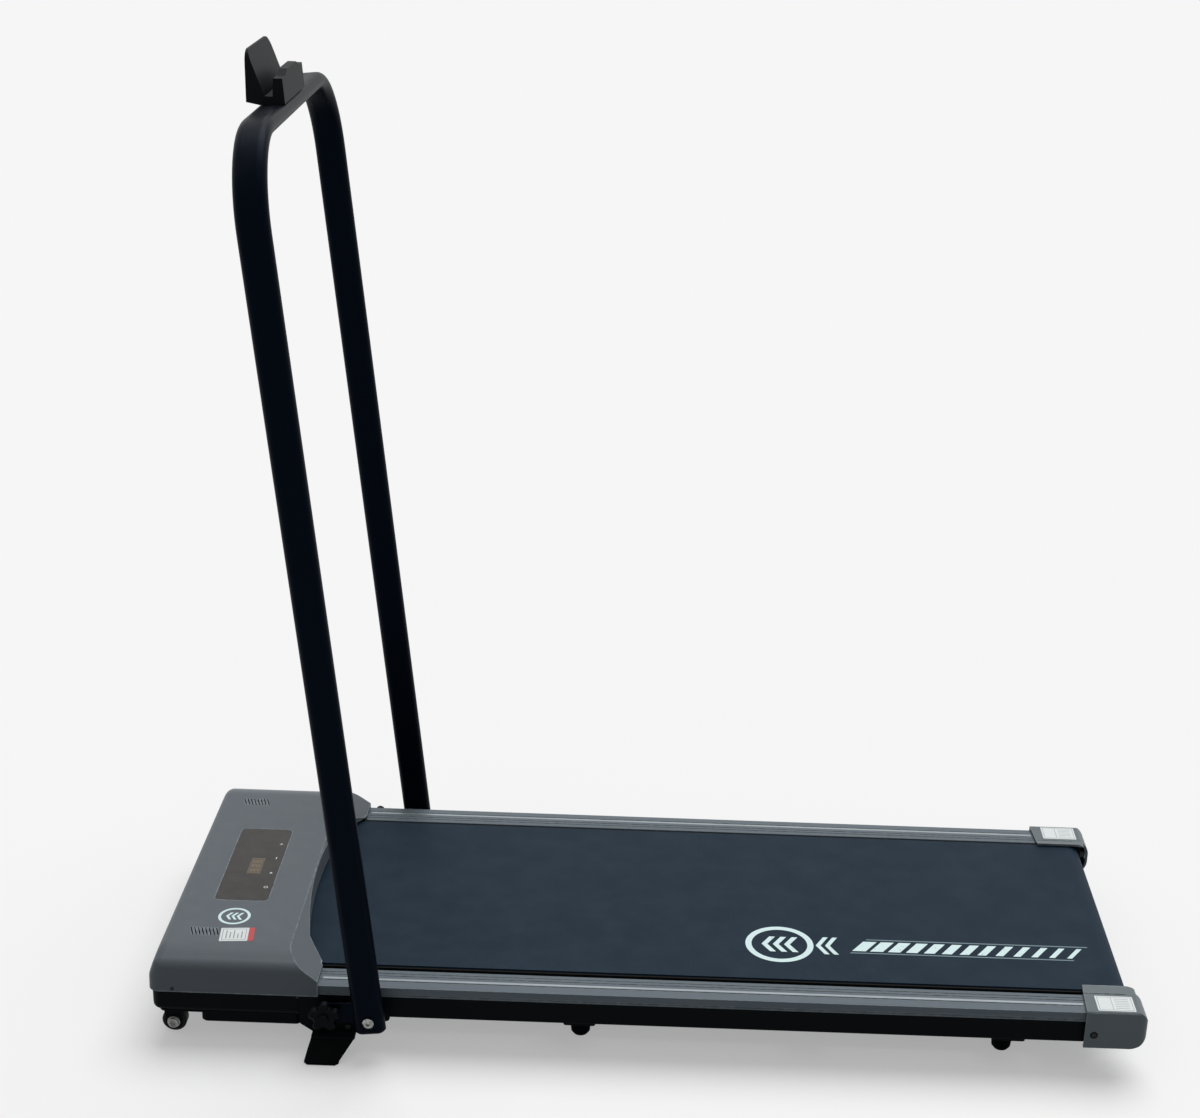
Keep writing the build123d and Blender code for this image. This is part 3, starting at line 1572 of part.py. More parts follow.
# ================================================================ wheels
def wheel_forks():
    """Folded brackets under the front that carry the transport wheels."""
    inner_cheek = wheel_outer_y - wheel_width - wheel_gap - fork_thickness
    outer_cheek = wheel_outer_y + wheel_gap
    top = tube_bottom - pan_thickness
    with BuildPart() as forks:
        for side in (LEFT, RIGHT):
            for y in (inner_cheek, outer_cheek):
                y0 = side * y if side == RIGHT else -(y + fork_thickness)
                with BuildSketch(side_plane(y0)):
                    with Locations((wheel_x, wheel_z)):
                        Circle(fork_tip_radius)
                    with Locations((wheel_x, top - fork_root / 2)):
                        Rectangle(fork_width, fork_root)
                    make_hull()
                    with Locations((wheel_x, wheel_z)):
                        Circle(wheel_bolt_radius, mode=Mode.SUBTRACT)
                extrude(amount=-fork_thickness)
            add(
                block(
                    wheel_x - fork_width / 2,
                    wheel_x + fork_width / 2,
                    min(side * inner_cheek, side * (outer_cheek + fork_thickness)),
                    max(side * inner_cheek, side * (outer_cheek + fork_thickness)),
                    top - fork_thickness,
                    top,
                )
            )
    return forks.part


def transport_wheel():
    y0 = -wheel_outer_y
    with BuildPart() as wheel:
        with BuildSketch(side_plane(y0)):
            with Locations((wheel_x, wheel_z)):
                Circle(wheel_radius)
                Circle(wheel_bolt_radius + lock_screw_clearance, mode=Mode.SUBTRACT)
        extrude(amount=-wheel_width)
        rims = wheel.edges().filter_by(GeomType.CIRCLE).group_by(SortBy.RADIUS)[-1]
        chamfer(rims, wheel_chamfer)
        for y, depth in ((y0, -wheel_dish), (y0 + wheel_width, wheel_dish)):
            with BuildSketch(side_plane(y)):
                with Locations((wheel_x, wheel_z)):
                    Circle(wheel_radius - wheel_rim_wall)
                    Circle(wheel_bolt_radius + wheel_hub_wall, mode=Mode.SUBTRACT)
            extrude(amount=depth, mode=Mode.SUBTRACT)
    return wheel.part


def wheel_bolts():
    """Axle bolts of the wheels, each with a socket head outside and a nut inside."""
    start = wheel_outer_y - wheel_width - wheel_gap - fork_thickness
    stop = wheel_outer_y + wheel_gap + fork_thickness
    head_start = stop + wheel_washer_thickness
    head_end = head_start + wheel_head_height
    with BuildPart() as bolts:
        for side in (LEFT, RIGHT):
            with BuildSketch(side_plane(side * start)):
                with Locations((wheel_x, wheel_z)):
                    RegularPolygon(axle_nut_radius, HEX_SIDE_COUNT)
            extrude(amount=side * axle_nut_height)
            with BuildSketch(side_plane(side * stop)):
                with Locations((wheel_x, wheel_z)):
                    Circle(wheel_washer_radius)
            extrude(amount=-side * wheel_washer_thickness)
            with BuildSketch(side_plane(side * head_start)):
                with Locations((wheel_x, wheel_z)):
                    Circle(wheel_head_radius)
            extrude(amount=-side * wheel_head_height)
        ends = bolts.faces().filter_by(Axis.Y).group_by(Axis.Y)
        chamfer(ends[0].edges() + ends[-1].edges(), wheel_head_chamfer)
        for side in (LEFT, RIGHT):
            with BuildSketch(side_plane(side * head_end)):
                with Locations((wheel_x, wheel_z)):
                    RegularPolygon(wheel_socket_radius, HEX_SIDE_COUNT)
            extrude(amount=side * wheel_socket_depth, mode=Mode.SUBTRACT)
            with BuildSketch(side_plane(side * start)):
                with Locations((wheel_x, wheel_z)):
                    Circle(wheel_bolt_radius)
            extrude(amount=-side * (stop - start))
    return bolts.part


# ================================================================ feet under the deck
def foot_bars():
    """Flat bars under the return side of the belt that join the side tubes."""
    length = 2 * (tube_outer - foot_bar_end_inset)
    with BuildPart() as bars:
        for x in foot_bar_xs:
            with BuildSketch(Plane.XY.offset(tube_bottom - foot_bar_thickness)):
                with Locations((x, 0)):
                    RectangleRounded(foot_bar_width, length, foot_bar_corner)
            extrude(amount=foot_bar_thickness)
    return bars.part


def rubber_feet():
    """Tapered rubber feet, rounded at the floor."""
    height = tube_bottom - foot_bar_thickness
    collar_bottom = height - foot_collar_height
    with BuildPart() as feet:
        for x in foot_bar_xs:
            for y in (-foot_y, foot_y):
                plane = Plane(origin=(x, y, 0), x_dir=(1, 0, 0), z_dir=(0, -1, 0))
                with BuildSketch(plane):
                    with BuildLine():
                        Polyline(
                            (0, 0),
                            (foot_bottom_radius - foot_toe_inset, 0),
                            (foot_bottom_radius, foot_toe_height),
                            (foot_top_radius - foot_collar_inset, collar_bottom - foot_collar_slope),
                            (foot_top_radius, collar_bottom),
                            (foot_top_radius, height),
                            (0, height),
                            close=True,
                        )
                    make_face()
                revolve(axis=Axis((x, y, 0), (0, 0, 1)))
    return feet.part


# ================================================================ export
def build():
    return {
        "side_tube_left": mirrored(side_tube()),
        "side_tube_right": side_tube(),
        "front_crossmember": front_crossmember(),
        "deck_crossmembers": deck_crossmembers(),
        "deck_cushions": deck_cushions(),
        "deck_board": deck_board(),
        "foot_rail_left": mirrored(foot_rail()),
        "foot_rail_right": foot_rail(),
        "walking_belt": walking_belt(),
        "front_roller": roller(front_roller_x),
        "front_roller_bearings": roller_bearings(front_roller_x),
        "front_axle": front_axle(),
        "front_axle_plates": front_axle_plates(),
        "rear_roller": roller(rear_roller_x),
        "rear_roller_bearings": roller_bearings(rear_roller_x),
        "rear_axle": rear_axle(),
        "tension_bracket_left": mirrored(roller_tension_bracket()),
        "tension_bracket_right": roller_tension_bracket(),
        "tension_bolts": tension_bolts(),
        "roller_pulley": roller_pulley(),
        "drive_belt": drive_belt(),
        "motor": motor_body(),
        "motor_shaft": motor_shaft(),
        "flywheel": flywheel(),
        "motor_pulley": motor_pulley(),
        "motor_mount": motor_mount(),
        "controller": controller(),
        "led_module": led_module(),
        "motor_hood": motor_hood(),
        "display_glass": display_glass(),
        "front_cover": front_cover(),
        "belly_pan": belly_pan(),
        "power_inlet": power_inlet(),
        "switch_housing": switch_housing(),
        "rocker_button": rocker_button(),
        "breaker_housing": breaker_housing(),
        "breaker_button": breaker_button(),
        "end_cap_left": mirrored(end_cap()),
        "end_cap_right": end_cap(),
        "hinge_bracket_left": hinge_bracket(),
        "hinge_bracket_right": mirrored(hinge_bracket()),
        "stand_foot_left": stand_foot(),
        "stand_foot_right": mirrored(stand_foot()),
        "foot_screws": foot_screws(),
        "pivot_bolts": pivot_bolts(),
        "lock_knob_left": star_knob(LEFT),
        "lock_knob_right": star_knob(RIGHT),
        "handlebar_tube": handlebar_tube(),
        "post_plugs": post_plugs(),
        "lock_tab_left": lock_tab(),
        "lock_tab_right": mirrored(lock_tab()),
        "phone_holder": phone_holder(),
        "holder_screws": holder_screws(),
        "wheel_forks": wheel_forks(),
        "wheel_left": transport_wheel(),
        "wheel_right": mirrored(transport_wheel()),
        "wheel_bolts": wheel_bolts(),
        "foot_bars": foot_bars(),
        "rubber_feet": rubber_feet(),
    }


os.makedirs("parts", exist_ok=True)
for node_name, piece in build().items():
    piece.label = node_name
    export_step(piece, f"parts/{node_name}.step")
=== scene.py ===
"""Finishes and small applied details of the slim folding walking treadmill.

Lengths are in metres, in the frame of the CAD nodes: -X is the front, -Y the left side, +Z up.
"""

import json
import math

import bmesh
import bpy
from mathutils import Matrix, Vector


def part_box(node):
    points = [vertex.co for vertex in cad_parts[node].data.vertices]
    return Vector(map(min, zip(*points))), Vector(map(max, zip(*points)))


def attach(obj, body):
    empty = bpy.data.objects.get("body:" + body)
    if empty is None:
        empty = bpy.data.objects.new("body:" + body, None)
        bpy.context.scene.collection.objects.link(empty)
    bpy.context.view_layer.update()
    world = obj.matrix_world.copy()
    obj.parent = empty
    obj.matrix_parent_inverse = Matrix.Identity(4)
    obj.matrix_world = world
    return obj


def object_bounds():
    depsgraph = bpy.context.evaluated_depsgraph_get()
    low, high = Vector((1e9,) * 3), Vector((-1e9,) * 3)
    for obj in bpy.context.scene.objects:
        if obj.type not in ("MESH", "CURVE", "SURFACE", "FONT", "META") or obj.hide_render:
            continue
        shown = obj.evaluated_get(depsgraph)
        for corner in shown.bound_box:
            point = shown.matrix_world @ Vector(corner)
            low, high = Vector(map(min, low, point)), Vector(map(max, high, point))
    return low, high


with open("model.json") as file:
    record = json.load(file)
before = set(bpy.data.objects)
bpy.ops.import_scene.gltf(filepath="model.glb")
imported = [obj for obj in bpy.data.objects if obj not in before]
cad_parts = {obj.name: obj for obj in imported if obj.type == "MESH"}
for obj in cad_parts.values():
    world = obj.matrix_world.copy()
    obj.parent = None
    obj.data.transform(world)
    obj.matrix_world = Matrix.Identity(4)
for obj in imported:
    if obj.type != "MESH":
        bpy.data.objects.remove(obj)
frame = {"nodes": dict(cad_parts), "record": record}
cad_low, cad_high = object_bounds()

MM = 0.001
SIDES = ((-1, "left"), (1, "right"))

# Corners of the nodes that carry the details
hood_low, hood_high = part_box("motor_hood")
glass_low, glass_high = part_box("display_glass")
belt_low, belt_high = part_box("walking_belt")
cap_low, cap_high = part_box("end_cap_right")
rail_low, rail_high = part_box("foot_rail_right")
_, cover_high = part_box("front_cover")
tube_low, tube_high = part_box("side_tube_right")
pan_low, pan_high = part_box("belly_pan")
bar_low, bar_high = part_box("foot_bars")
rocker_low, rocker_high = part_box("rocker_button")
inlet_low, inlet_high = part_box("power_inlet")


# ---------------------------------------------------------------- node helpers
NUMBER = "NodeSocketFloat"
COLOUR = "NodeSocketColor"


def link(tree, socket, value):
    """Feeds a socket from another socket, or sets its own value."""
    if isinstance(value, bpy.types.NodeSocket):
        tree.links.new(value, socket)
    else:
        socket.default_value = value


def calc(tree, operation, first, second=0.0, third=0.0):
    """One Math node; returns its value."""
    made = tree.nodes.new("ShaderNodeMath")
    made.operation = operation
    for socket, value in zip(made.inputs, (first, second, third)):
        link(tree, socket, value)
    return made.outputs[0]


def remap(tree, value, low, high, to_low=0.0, to_high=1.0):
    """Clamped map range; returns the mapped value."""
    made = tree.nodes.new("ShaderNodeMapRange")
    for label, source in (
        ("Value", value),
        ("From Min", low),
        ("From Max", high),
        ("To Min", to_low),
        ("To Max", to_high),
    ):
        link(tree, made.inputs[label], source)
    return made.outputs["Result"]


def switch(tree, mask, off, on):
    """Goes from the off number to the on number as a mask goes from zero to one."""
    return remap(tree, mask, 0.0, 1.0, off, on)


def blend_colour(tree, mask, first, second):
    """Colour mix by a mask; returns the colour."""
    made = tree.nodes.new("ShaderNodeMix")
    made.data_type = "RGBA"
    link(tree, made.inputs["Factor"], mask)
    link(tree, made.inputs["A"], first)
    link(tree, made.inputs["B"], second)
    return made.outputs["Result"]


def object_place(tree):
    """Place on the object, in its own coordinates."""
    return tree.nodes.new("ShaderNodeTexCoord").outputs["Object"]


def surface(tree):
    """Outputs that describe the surface, such as its normals."""
    return tree.nodes.new("ShaderNodeNewGeometry").outputs


def axes_of(tree, vector):
    """X, Y and Z of a vector."""
    parts = tree.nodes.new("ShaderNodeSeparateXYZ")
    link(tree, parts.inputs[0], vector)
    return parts.outputs


def object_noise(tree, scale, detail=3.0, stretch=(1, 1, 1)):
    """Noise on object coordinates; returns its value."""
    mapping = tree.nodes.new("ShaderNodeMapping")
    mapping.inputs["Scale"].default_value = stretch
    link(tree, mapping.inputs["Vector"], object_place(tree))
    noise = tree.nodes.new("ShaderNodeTexNoise")
    noise.inputs["Detail"].default_value = detail
    link(tree, noise.inputs["Vector"], mapping.outputs["Vector"])
    link(tree, noise.inputs["Scale"], scale)
    return noise.outputs["Fac"]


def linear(value):
    """Linear light of an eight-bit display value, by the sRGB curve."""
    share = value / 255
    if share <= 0.04045:
        return share / 12.92
    return ((share + 0.055) / 1.055) ** 2.4


def rgb(red, green, blue):
    """Linear colour with alpha from eight-bit display values."""
    return (linear(red), linear(green), linear(blue), 1.0)


def grey(level):
    """Grey of a linear level."""
    return (level, level, level, 1.0)


# ---------------------------------------------------------------- shared effects
EDGE_MASK_RADIUS = 0.8 * MM
EDGE_MASK_SAMPLES = 4
DUST_COLOUR = (0.35, 0.34, 0.32, 1)
WEAVE_ASPECT = 1.7             # length to width of a diamond of the belt's weave


def new_group(name, inputs, outputs):
    """Empty node group; returns it with its given values and its results."""
    tree = bpy.data.node_groups.new(name, "ShaderNodeTree")
    for label, kind, value in inputs:
        socket = tree.interface.new_socket(label, in_out="INPUT", socket_type=kind)
        socket.default_value = value
    for label, kind in outputs:
        tree.interface.new_socket(label, in_out="OUTPUT", socket_type=kind)
    given = tree.nodes.new("NodeGroupInput").outputs
    result = tree.nodes.new("NodeGroupOutput").inputs
    return tree, given, result


def make_tone_drift():
    """Slow change of tone over a surface."""
    tree, given, result = new_group(
        "tone_drift",
        (("Colour", COLOUR, grey(0.5)), ("Amount", NUMBER, 0.1), ("Scale", NUMBER, 6.0)),
        (("Colour", COLOUR),),
    )
    cloud = object_noise(tree, given["Scale"], detail=4.0)
    centred = calc(tree, "SUBTRACT", cloud, 0.5)
    gain = calc(tree, "MULTIPLY_ADD", centred, given["Amount"], 1.0)
    scaled = tree.nodes.new("ShaderNodeVectorMath")
    scaled.operation = "SCALE"
    link(tree, scaled.inputs[0], given["Colour"])
    link(tree, scaled.inputs["Scale"], gain)
    link(tree, result["Colour"], scaled.outputs["Vector"])
    return tree


def make_fine_grain():
    """Height of a moulded or powder-coated grain."""
    tree, given, result = new_group(
        "fine_grain",
        (("Scale", NUMBER, 900.0), ("Softness", NUMBER, 0.5)),
        (("Height", NUMBER),),
    )
    coarse_to_fine = 0.35
    fine = object_noise(tree, given["Scale"], detail=2.0)
    coarse_scale = calc(tree, "MULTIPLY", given["Scale"], coarse_to_fine)
    coarse = object_noise(tree, coarse_scale, detail=2.0)
    softened = calc(tree, "MULTIPLY", coarse, given["Softness"])
    link(tree, result["Height"], calc(tree, "ADD", fine, softened))
    return tree


def make_edge_wear_and_highlight():
    """Mask along convex edges, broken up by noise, for wear and for painted edge highlights."""
    tree, given, result = new_group(
        "edge_wear_and_highlight",
        (("Radius", NUMBER, EDGE_MASK_RADIUS), ("Amount", NUMBER, 0.5)),
        (("Mask", NUMBER),),
    )
    rounded = tree.nodes.new("ShaderNodeBevel")
    rounded.samples = EDGE_MASK_SAMPLES
    link(tree, rounded.inputs["Radius"], given["Radius"])
    product = tree.nodes.new("ShaderNodeVectorMath")
    product.operation = "DOT_PRODUCT"
    link(tree, product.inputs[0], rounded.outputs["Normal"])
    link(tree, product.inputs[1], surface(tree)["True Normal"])
    edge = remap(tree, product.outputs["Value"], low=0.997, high=0.92)
    patches = object_noise(tree, 120.0, detail=4.0)
    broken = remap(tree, patches, low=0.38, high=0.62, to_low=0.25)
    mask = calc(tree, "MULTIPLY", edge, broken)
    link(tree, result["Mask"], calc(tree, "MULTIPLY", mask, given["Amount"]))
    return tree


def make_settled_dust():
    """Mask of dust on faces that look upwards."""
    tree, given, result = new_group(
        "settled_dust",
        (("Amount", NUMBER, 0.1), ("Scale", NUMBER, 40.0)),
        (("Mask", NUMBER),),
    )
    normal = axes_of(tree, surface(tree)["Normal"])
    upward = remap(tree, normal["Z"], low=0.4, high=1.0)
    cloud = object_noise(tree, given["Scale"], detail=5.0)
    patches = remap(tree, cloud, low=0.35, high=0.75)
    mask = calc(tree, "MULTIPLY", upward, patches)
    link(tree, result["Mask"], calc(tree, "MULTIPLY", mask, given["Amount"]))
    return tree


def make_brushed_lines():
    """Fine streaks along one axis, for drawn and turned metal."""
    tree, given, result = new_group(
        "brushed_lines",
        (("Scale", NUMBER, 60.0), ("Contrast", NUMBER, 1.0)),
        (("Streaks", NUMBER),),
    )
    lines = object_noise(tree, given["Scale"], detail=3.0, stretch=(0.04, 12.0, 12.0))
    centred = calc(tree, "SUBTRACT", lines, 0.5)
    streaks = calc(tree, "MULTIPLY_ADD", centred, given["Contrast"], 0.5)
    link(tree, result["Streaks"], streaks)
    return tree


def make_diamond_weave():
    """Woven diamond relief of a walking belt."""
    tree, given, result = new_group(
        "diamond_weave",
        (("Pitch", NUMBER, 3.0 * MM),),
        (("Height", NUMBER), ("Thread", NUMBER)),
    )
    place = axes_of(tree, object_place(tree))
    along = calc(tree, "DIVIDE", place["X"], given["Pitch"])
    across = calc(tree, "DIVIDE", place["Y"], given["Pitch"])
    waves = []
    for operation in ("ADD", "SUBTRACT"):
        turned = calc(tree, operation, along, calc(tree, "MULTIPLY", across, WEAVE_ASPECT))
        wave = calc(tree, "SINE", calc(tree, "MULTIPLY", turned, math.pi))
        waves.append(calc(tree, "ABSOLUTE", wave))
    height = calc(tree, "MULTIPLY", waves[0], waves[1])
    link(tree, result["Height"], height)
    link(tree, result["Thread"], remap(tree, height, low=0.1, high=0.75))
    return tree


tone_drift = make_tone_drift()
fine_grain = make_fine_grain()
edge_wear_and_highlight = make_edge_wear_and_highlight()
settled_dust = make_settled_dust()
brushed_lines = make_brushed_lines()
diamond_weave = make_diamond_weave()


def use_group(tree, group, **values):
    """Places a shared effect in a material; returns its results."""
    made = tree.nodes.new("ShaderNodeGroup")
    made.node_tree = group
    for label, value in values.items():
        link(tree, made.inputs[label], value)
    return made.outputs


# ---------------------------------------------------------------- finishes
class Finish:
    """A material with its shader, its colour chain and its relief."""

    def __init__(self, name, colour, roughness, specular=0.5, metallic=0.0):
        self.material = bpy.data.materials.new(name)
        self.material.use_nodes = True
        self.material.diffuse_color = colour
        self.tree = self.material.node_tree
        self.shader = self.tree.nodes["Principled BSDF"]
        self.colour = colour
        self.roughness = roughness
        self.set("Specular IOR Level", specular)
        self.set("Metallic", metallic)

    def set(self, label, value):
        """Sets or feeds one input of the shader."""
        link(self.tree, self.shader.inputs[label], value)

    def drift(self, amount, scale):
        """Lets the tone vary slowly."""
        effect = use_group(self.tree, tone_drift, Colour=self.colour, Amount=amount, Scale=scale)
        self.colour = effect["Colour"]

    def tint(self, mask, colour):
        """Lays another colour over the finish where a mask says."""
        self.colour = blend_colour(self.tree, mask, self.colour, colour)

    def roughen(self, mask, amount):
        """Adds to the roughness where a mask says."""
        self.roughness = calc(self.tree, "MULTIPLY_ADD", mask, amount, self.roughness)

    def relief(self, height, depth):
        """Adds a bump on top of any earlier one."""
        bump = self.tree.nodes.new("ShaderNodeBump")
        bump.inputs["Distance"].default_value = depth
        link(self.tree, bump.inputs["Height"], height)
        earlier = self.shader.inputs["Normal"]
        if earlier.is_linked:
            link(self.tree, bump.inputs["Normal"], earlier.links[0].from_socket)
        self.set("Normal", bump.outputs["Normal"])

    def grain(self, scale, depth, softness=0.5):
        """Adds a fine moulded or coated grain."""
        effect = use_group(self.tree, fine_grain, Scale=scale, Softness=softness)
        self.relief(effect["Height"], depth)

    def edges_wear_and_highlight(self, amount, colour, radius=EDGE_MASK_RADIUS):
        """Lays another colour along the convex edges: rubbed wear on most finishes, a painted
        highlight on the hood, the end caps and the rails.
        """
        effect = use_group(self.tree, edge_wear_and_highlight, Radius=radius, Amount=amount)
        self.tint(effect["Mask"], colour)

    def dust(self, amount, scale=40.0, colour=DUST_COLOUR):
        """Settles dust on the upward faces."""
        effect = use_group(self.tree, settled_dust, Amount=amount, Scale=scale)
        self.tint(effect["Mask"], colour)
        self.roughen(effect["Mask"], 0.5)

    def brush(self, scale, contrast, tint, dulling):
        """Draws streaks of another tone, rougher than the metal between them."""
        effect = use_group(self.tree, brushed_lines, Scale=scale, Contrast=contrast)
        self.tint(effect["Streaks"], tint)
        self.roughen(effect["Streaks"], dulling)

    def done(self):
        """Joins the colour and roughness chains to the shader; returns the material."""
        self.set("Base Color", self.colour)
        self.set("Roughness", self.roughness)
        return self.material


def hood_grey():
    paint = Finish("hood_grey", rgb(89, 97, 103), roughness=0.42, specular=0.15)
    paint.drift(amount=0.12, scale=4.0)
    paint.grain(scale=1400.0, depth=0.02 * MM)
    # The pale colour along the hood's edges and creases is a painted highlight, not wear.
    paint.edges_wear_and_highlight(amount=0.8, colour=rgb(165, 176, 184), radius=2.6 * MM)
    paint.dust(amount=0.05)
    return paint.done()


def cap_grey():
    paint = Finish("cap_grey", rgb(94, 104, 109), roughness=0.4, specular=0.2)
    paint.drift(amount=0.12, scale=9.0)
    paint.grain(scale=1400.0, depth=0.02 * MM)
    # The pale colour along the cap's edges is a painted highlight, not wear.
    paint.edges_wear_and_highlight(amount=0.7, colour=rgb(165, 175, 180), radius=1.8 * MM)
    paint.dust(amount=0.05)
    return paint.done()


def display_black():
    glass = Finish("display_black", rgb(34, 31, 27), roughness=0.06, specular=0.3)
    glass.drift(amount=1.6, scale=9.0)
    glass.dust(amount=0.05, scale=60.0)
    return glass.done()


def led_board():
    board = Finish("led_board", rgb(26, 60, 40), roughness=0.4)
    board.drift(amount=0.2, scale=30.0)
    board.grain(scale=600.0, depth=0.03 * MM)
    return board.done()


def cover_black():
    plastic = Finish("cover_black", rgb(5, 9, 12), roughness=0.5, specular=0.04)
    plastic.drift(amount=0.3, scale=7.0)
    plastic.grain(scale=1100.0, depth=0.04 * MM, softness=0.8)
    plastic.edges_wear_and_highlight(amount=0.25, colour=rgb(40, 44, 48))
    plastic.dust(amount=0.02)
    return plastic.done()


def frame_black():
    coat = Finish("frame_black", rgb(4, 8, 11), roughness=0.46, specular=0.04)
    coat.drift(amount=0.3, scale=5.0)
    coat.grain(scale=520.0, depth=0.06 * MM, softness=1.0)
    coat.edges_wear_and_highlight(amount=0.3, colour=rgb(36, 41, 46))
    coat.dust(amount=0.02)
    return coat.done()


def handle_black():
    coat = Finish("handle_black", rgb(3, 7, 13), roughness=0.4, specular=0.06)
    coat.set("Specular Tint", rgb(150, 190, 255))
    coat.drift(amount=0.3, scale=3.0)
    coat.grain(scale=620.0, depth=0.03 * MM, softness=1.0)
    coat.edges_wear_and_highlight(amount=0.15, colour=rgb(36, 44, 54))
    coat.dust(amount=0.015)
    return coat.done()


def rail_alloy():
    alloy = Finish("rail_alloy", rgb(78, 89, 96), roughness=0.42, specular=0.14, metallic=0.05)
    alloy.brush(scale=45.0, contrast=0.65, tint=rgb(106, 117, 125), dulling=0.12)
    # The pale colour along the rail's edges is a painted highlight, not wear.
    alloy.edges_wear_and_highlight(amount=0.5, colour=rgb(176, 184, 188), radius=1.2 * MM)
    alloy.dust(amount=0.05)
    return alloy.done()


def belt_fabric():
    """Dark blue weave with paler threads."""
    belt = Finish("belt_fabric", rgb(8, 27, 42), roughness=0.6, specular=0.1)
    weave = use_group(belt.tree, diamond_weave, Pitch=3.4 * MM)
    threads = calc(belt.tree, "MULTIPLY", weave["Thread"], 0.6)
    belt.drift(amount=0.1, scale=1.5)
    belt.tint(threads, rgb(27, 48, 63))
    belt.relief(weave["Height"], depth=0.3 * MM)
    belt.grain(scale=900.0, depth=0.04 * MM)
    belt.dust(amount=0.03, scale=25.0, colour=rgb(120, 150, 170))
    return belt.done()


def foot_rubber():
    rubber = Finish("foot_rubber", rgb(5, 7, 9), roughness=0.75, specular=0.03)
    rubber.drift(amount=0.4, scale=20.0)
    rubber.grain(scale=700.0, depth=0.08 * MM, softness=1.0)
    rubber.dust(amount=0.02)
    rubber.edges_wear_and_highlight(amount=0.3, colour=rgb(34, 35, 36))
    return rubber.done()


def wheel_plastic():
    plastic = Finish("wheel_plastic", rgb(12, 12, 14), roughness=0.5, specular=0.15)
    plastic.drift(amount=0.3, scale=30.0)
    plastic.grain(scale=800.0, depth=0.05 * MM)
    plastic.edges_wear_and_highlight(amount=0.5, colour=rgb(58, 58, 58))
    plastic.dust(amount=0.08)
    return plastic.done()


def roller_steel():
    steel = Finish("roller_steel", rgb(150, 152, 155), roughness=0.3, metallic=1.0)
    steel.brush(scale=90.0, contrast=0.8, tint=rgb(190, 192, 195), dulling=0.15)
    steel.grain(scale=500.0, depth=0.01 * MM)
    return steel.done()


def zinc_bolt():
    """Plated steel with darker tarnish in patches."""
    zinc = Finish("zinc_bolt", rgb(150, 152, 150), roughness=0.24, metallic=1.0)
    cloud = object_noise(zinc.tree, 320.0, detail=4.0)
    tarnish = remap(zinc.tree, cloud, low=0.4, high=0.62, to_high=0.7)
    zinc.tint(tarnish, rgb(98, 98, 95))
    zinc.grain(scale=2500.0, depth=0.01 * MM)
    zinc.edges_wear_and_highlight(amount=0.7, colour=rgb(225, 226, 222), radius=0.5 * MM)
    return zinc.done()


def board_wood():
    """Black phenolic skin and sealed edges, raw pressed fibre underneath."""
    board = Finish("board_wood", rgb(10, 11, 13), roughness=0.5, specular=0.08)
    normal = axes_of(board.tree, surface(board.tree)["True Normal"])
    downward = remap(board.tree, normal["Z"], low=-0.6, high=-0.9)
    cloud = object_noise(board.tree, 60.0, detail=5.0, stretch=(0.2, 4.0, 4.0))
    fibre = remap(board.tree, cloud, low=0.4, high=0.6, to_low=0.55)
    board.tint(calc(board.tree, "MULTIPLY", downward, fibre), rgb(122, 92, 62))
    board.grain(scale=700.0, depth=0.05 * MM)
    return board.done()


def drive_rubber():
    rubber = Finish("drive_rubber", rgb(16, 16, 16), roughness=0.7, specular=0.3)
    rubber.drift(amount=0.3, scale=60.0)
    rubber.grain(scale=900.0, depth=0.04 * MM)
    return rubber.done()


def pulley_alloy():
    alloy = Finish("pulley_alloy", rgb(160, 162, 165), roughness=0.42, metallic=1.0)
    alloy.drift(amount=0.2, scale=40.0)
    alloy.grain(scale=900.0, depth=0.03 * MM)
    return alloy.done()


def flywheel_iron():
    iron = Finish("flywheel_iron", rgb(58, 58, 60), roughness=0.5, metallic=0.9)
    iron.drift(amount=0.3, scale=50.0)
    iron.grain(scale=700.0, depth=0.06 * MM, softness=1.0)
    return iron.done()


def motor_steel():
    steel = Finish("motor_steel", rgb(40, 42, 45), roughness=0.4, metallic=0.7)
    steel.drift(amount=0.2, scale=20.0)
    steel.brush(scale=60.0, contrast=0.6, tint=rgb(66, 68, 72), dulling=0.1)
    return steel.done()


def controller_alloy():
    alloy = Finish("controller_alloy", rgb(168, 170, 172), roughness=0.45, metallic=1.0)
    alloy.brush(scale=80.0, contrast=0.6, tint=rgb(190, 192, 194), dulling=0.1)
    return alloy.done()


def inlet_black():
    plastic = Finish("inlet_black", rgb(12, 12, 13), roughness=0.35, specular=0.25)
    plastic.drift(amount=0.2, scale=60.0)
    plastic.grain(scale=1500.0, depth=0.02 * MM)
    plastic.edges_wear_and_highlight(amount=0.3, colour=rgb(56, 56, 56), radius=0.4 * MM)
    return plastic.done()


def rocker_red():
    plastic = Finish("rocker_red", rgb(176, 22, 20), roughness=0.25, specular=0.4)
    plastic.drift(amount=0.2, scale=120.0)
    plastic.edges_wear_and_highlight(amount=0.2, colour=rgb(210, 90, 80), radius=0.3 * MM)
    return plastic.done()


def breaker_white():
    plastic = Finish("breaker_white", rgb(214, 212, 204), roughness=0.35, specular=0.4)
    plastic.drift(amount=0.1, scale=200.0)
    plastic.grain(scale=2000.0, depth=0.01 * MM)
    return plastic.done()


def knob_black():
    plastic = Finish("knob_black", rgb(3, 7, 10), roughness=0.38, specular=0.05)
    plastic.drift(amount=0.2, scale=40.0)
    plastic.grain(scale=1200.0, depth=0.04 * MM, softness=0.8)
    plastic.edges_wear_and_highlight(amount=0.5, colour=rgb(46, 54, 64), radius=0.6 * MM)
    plastic.dust(amount=0.02)
    return plastic.done()


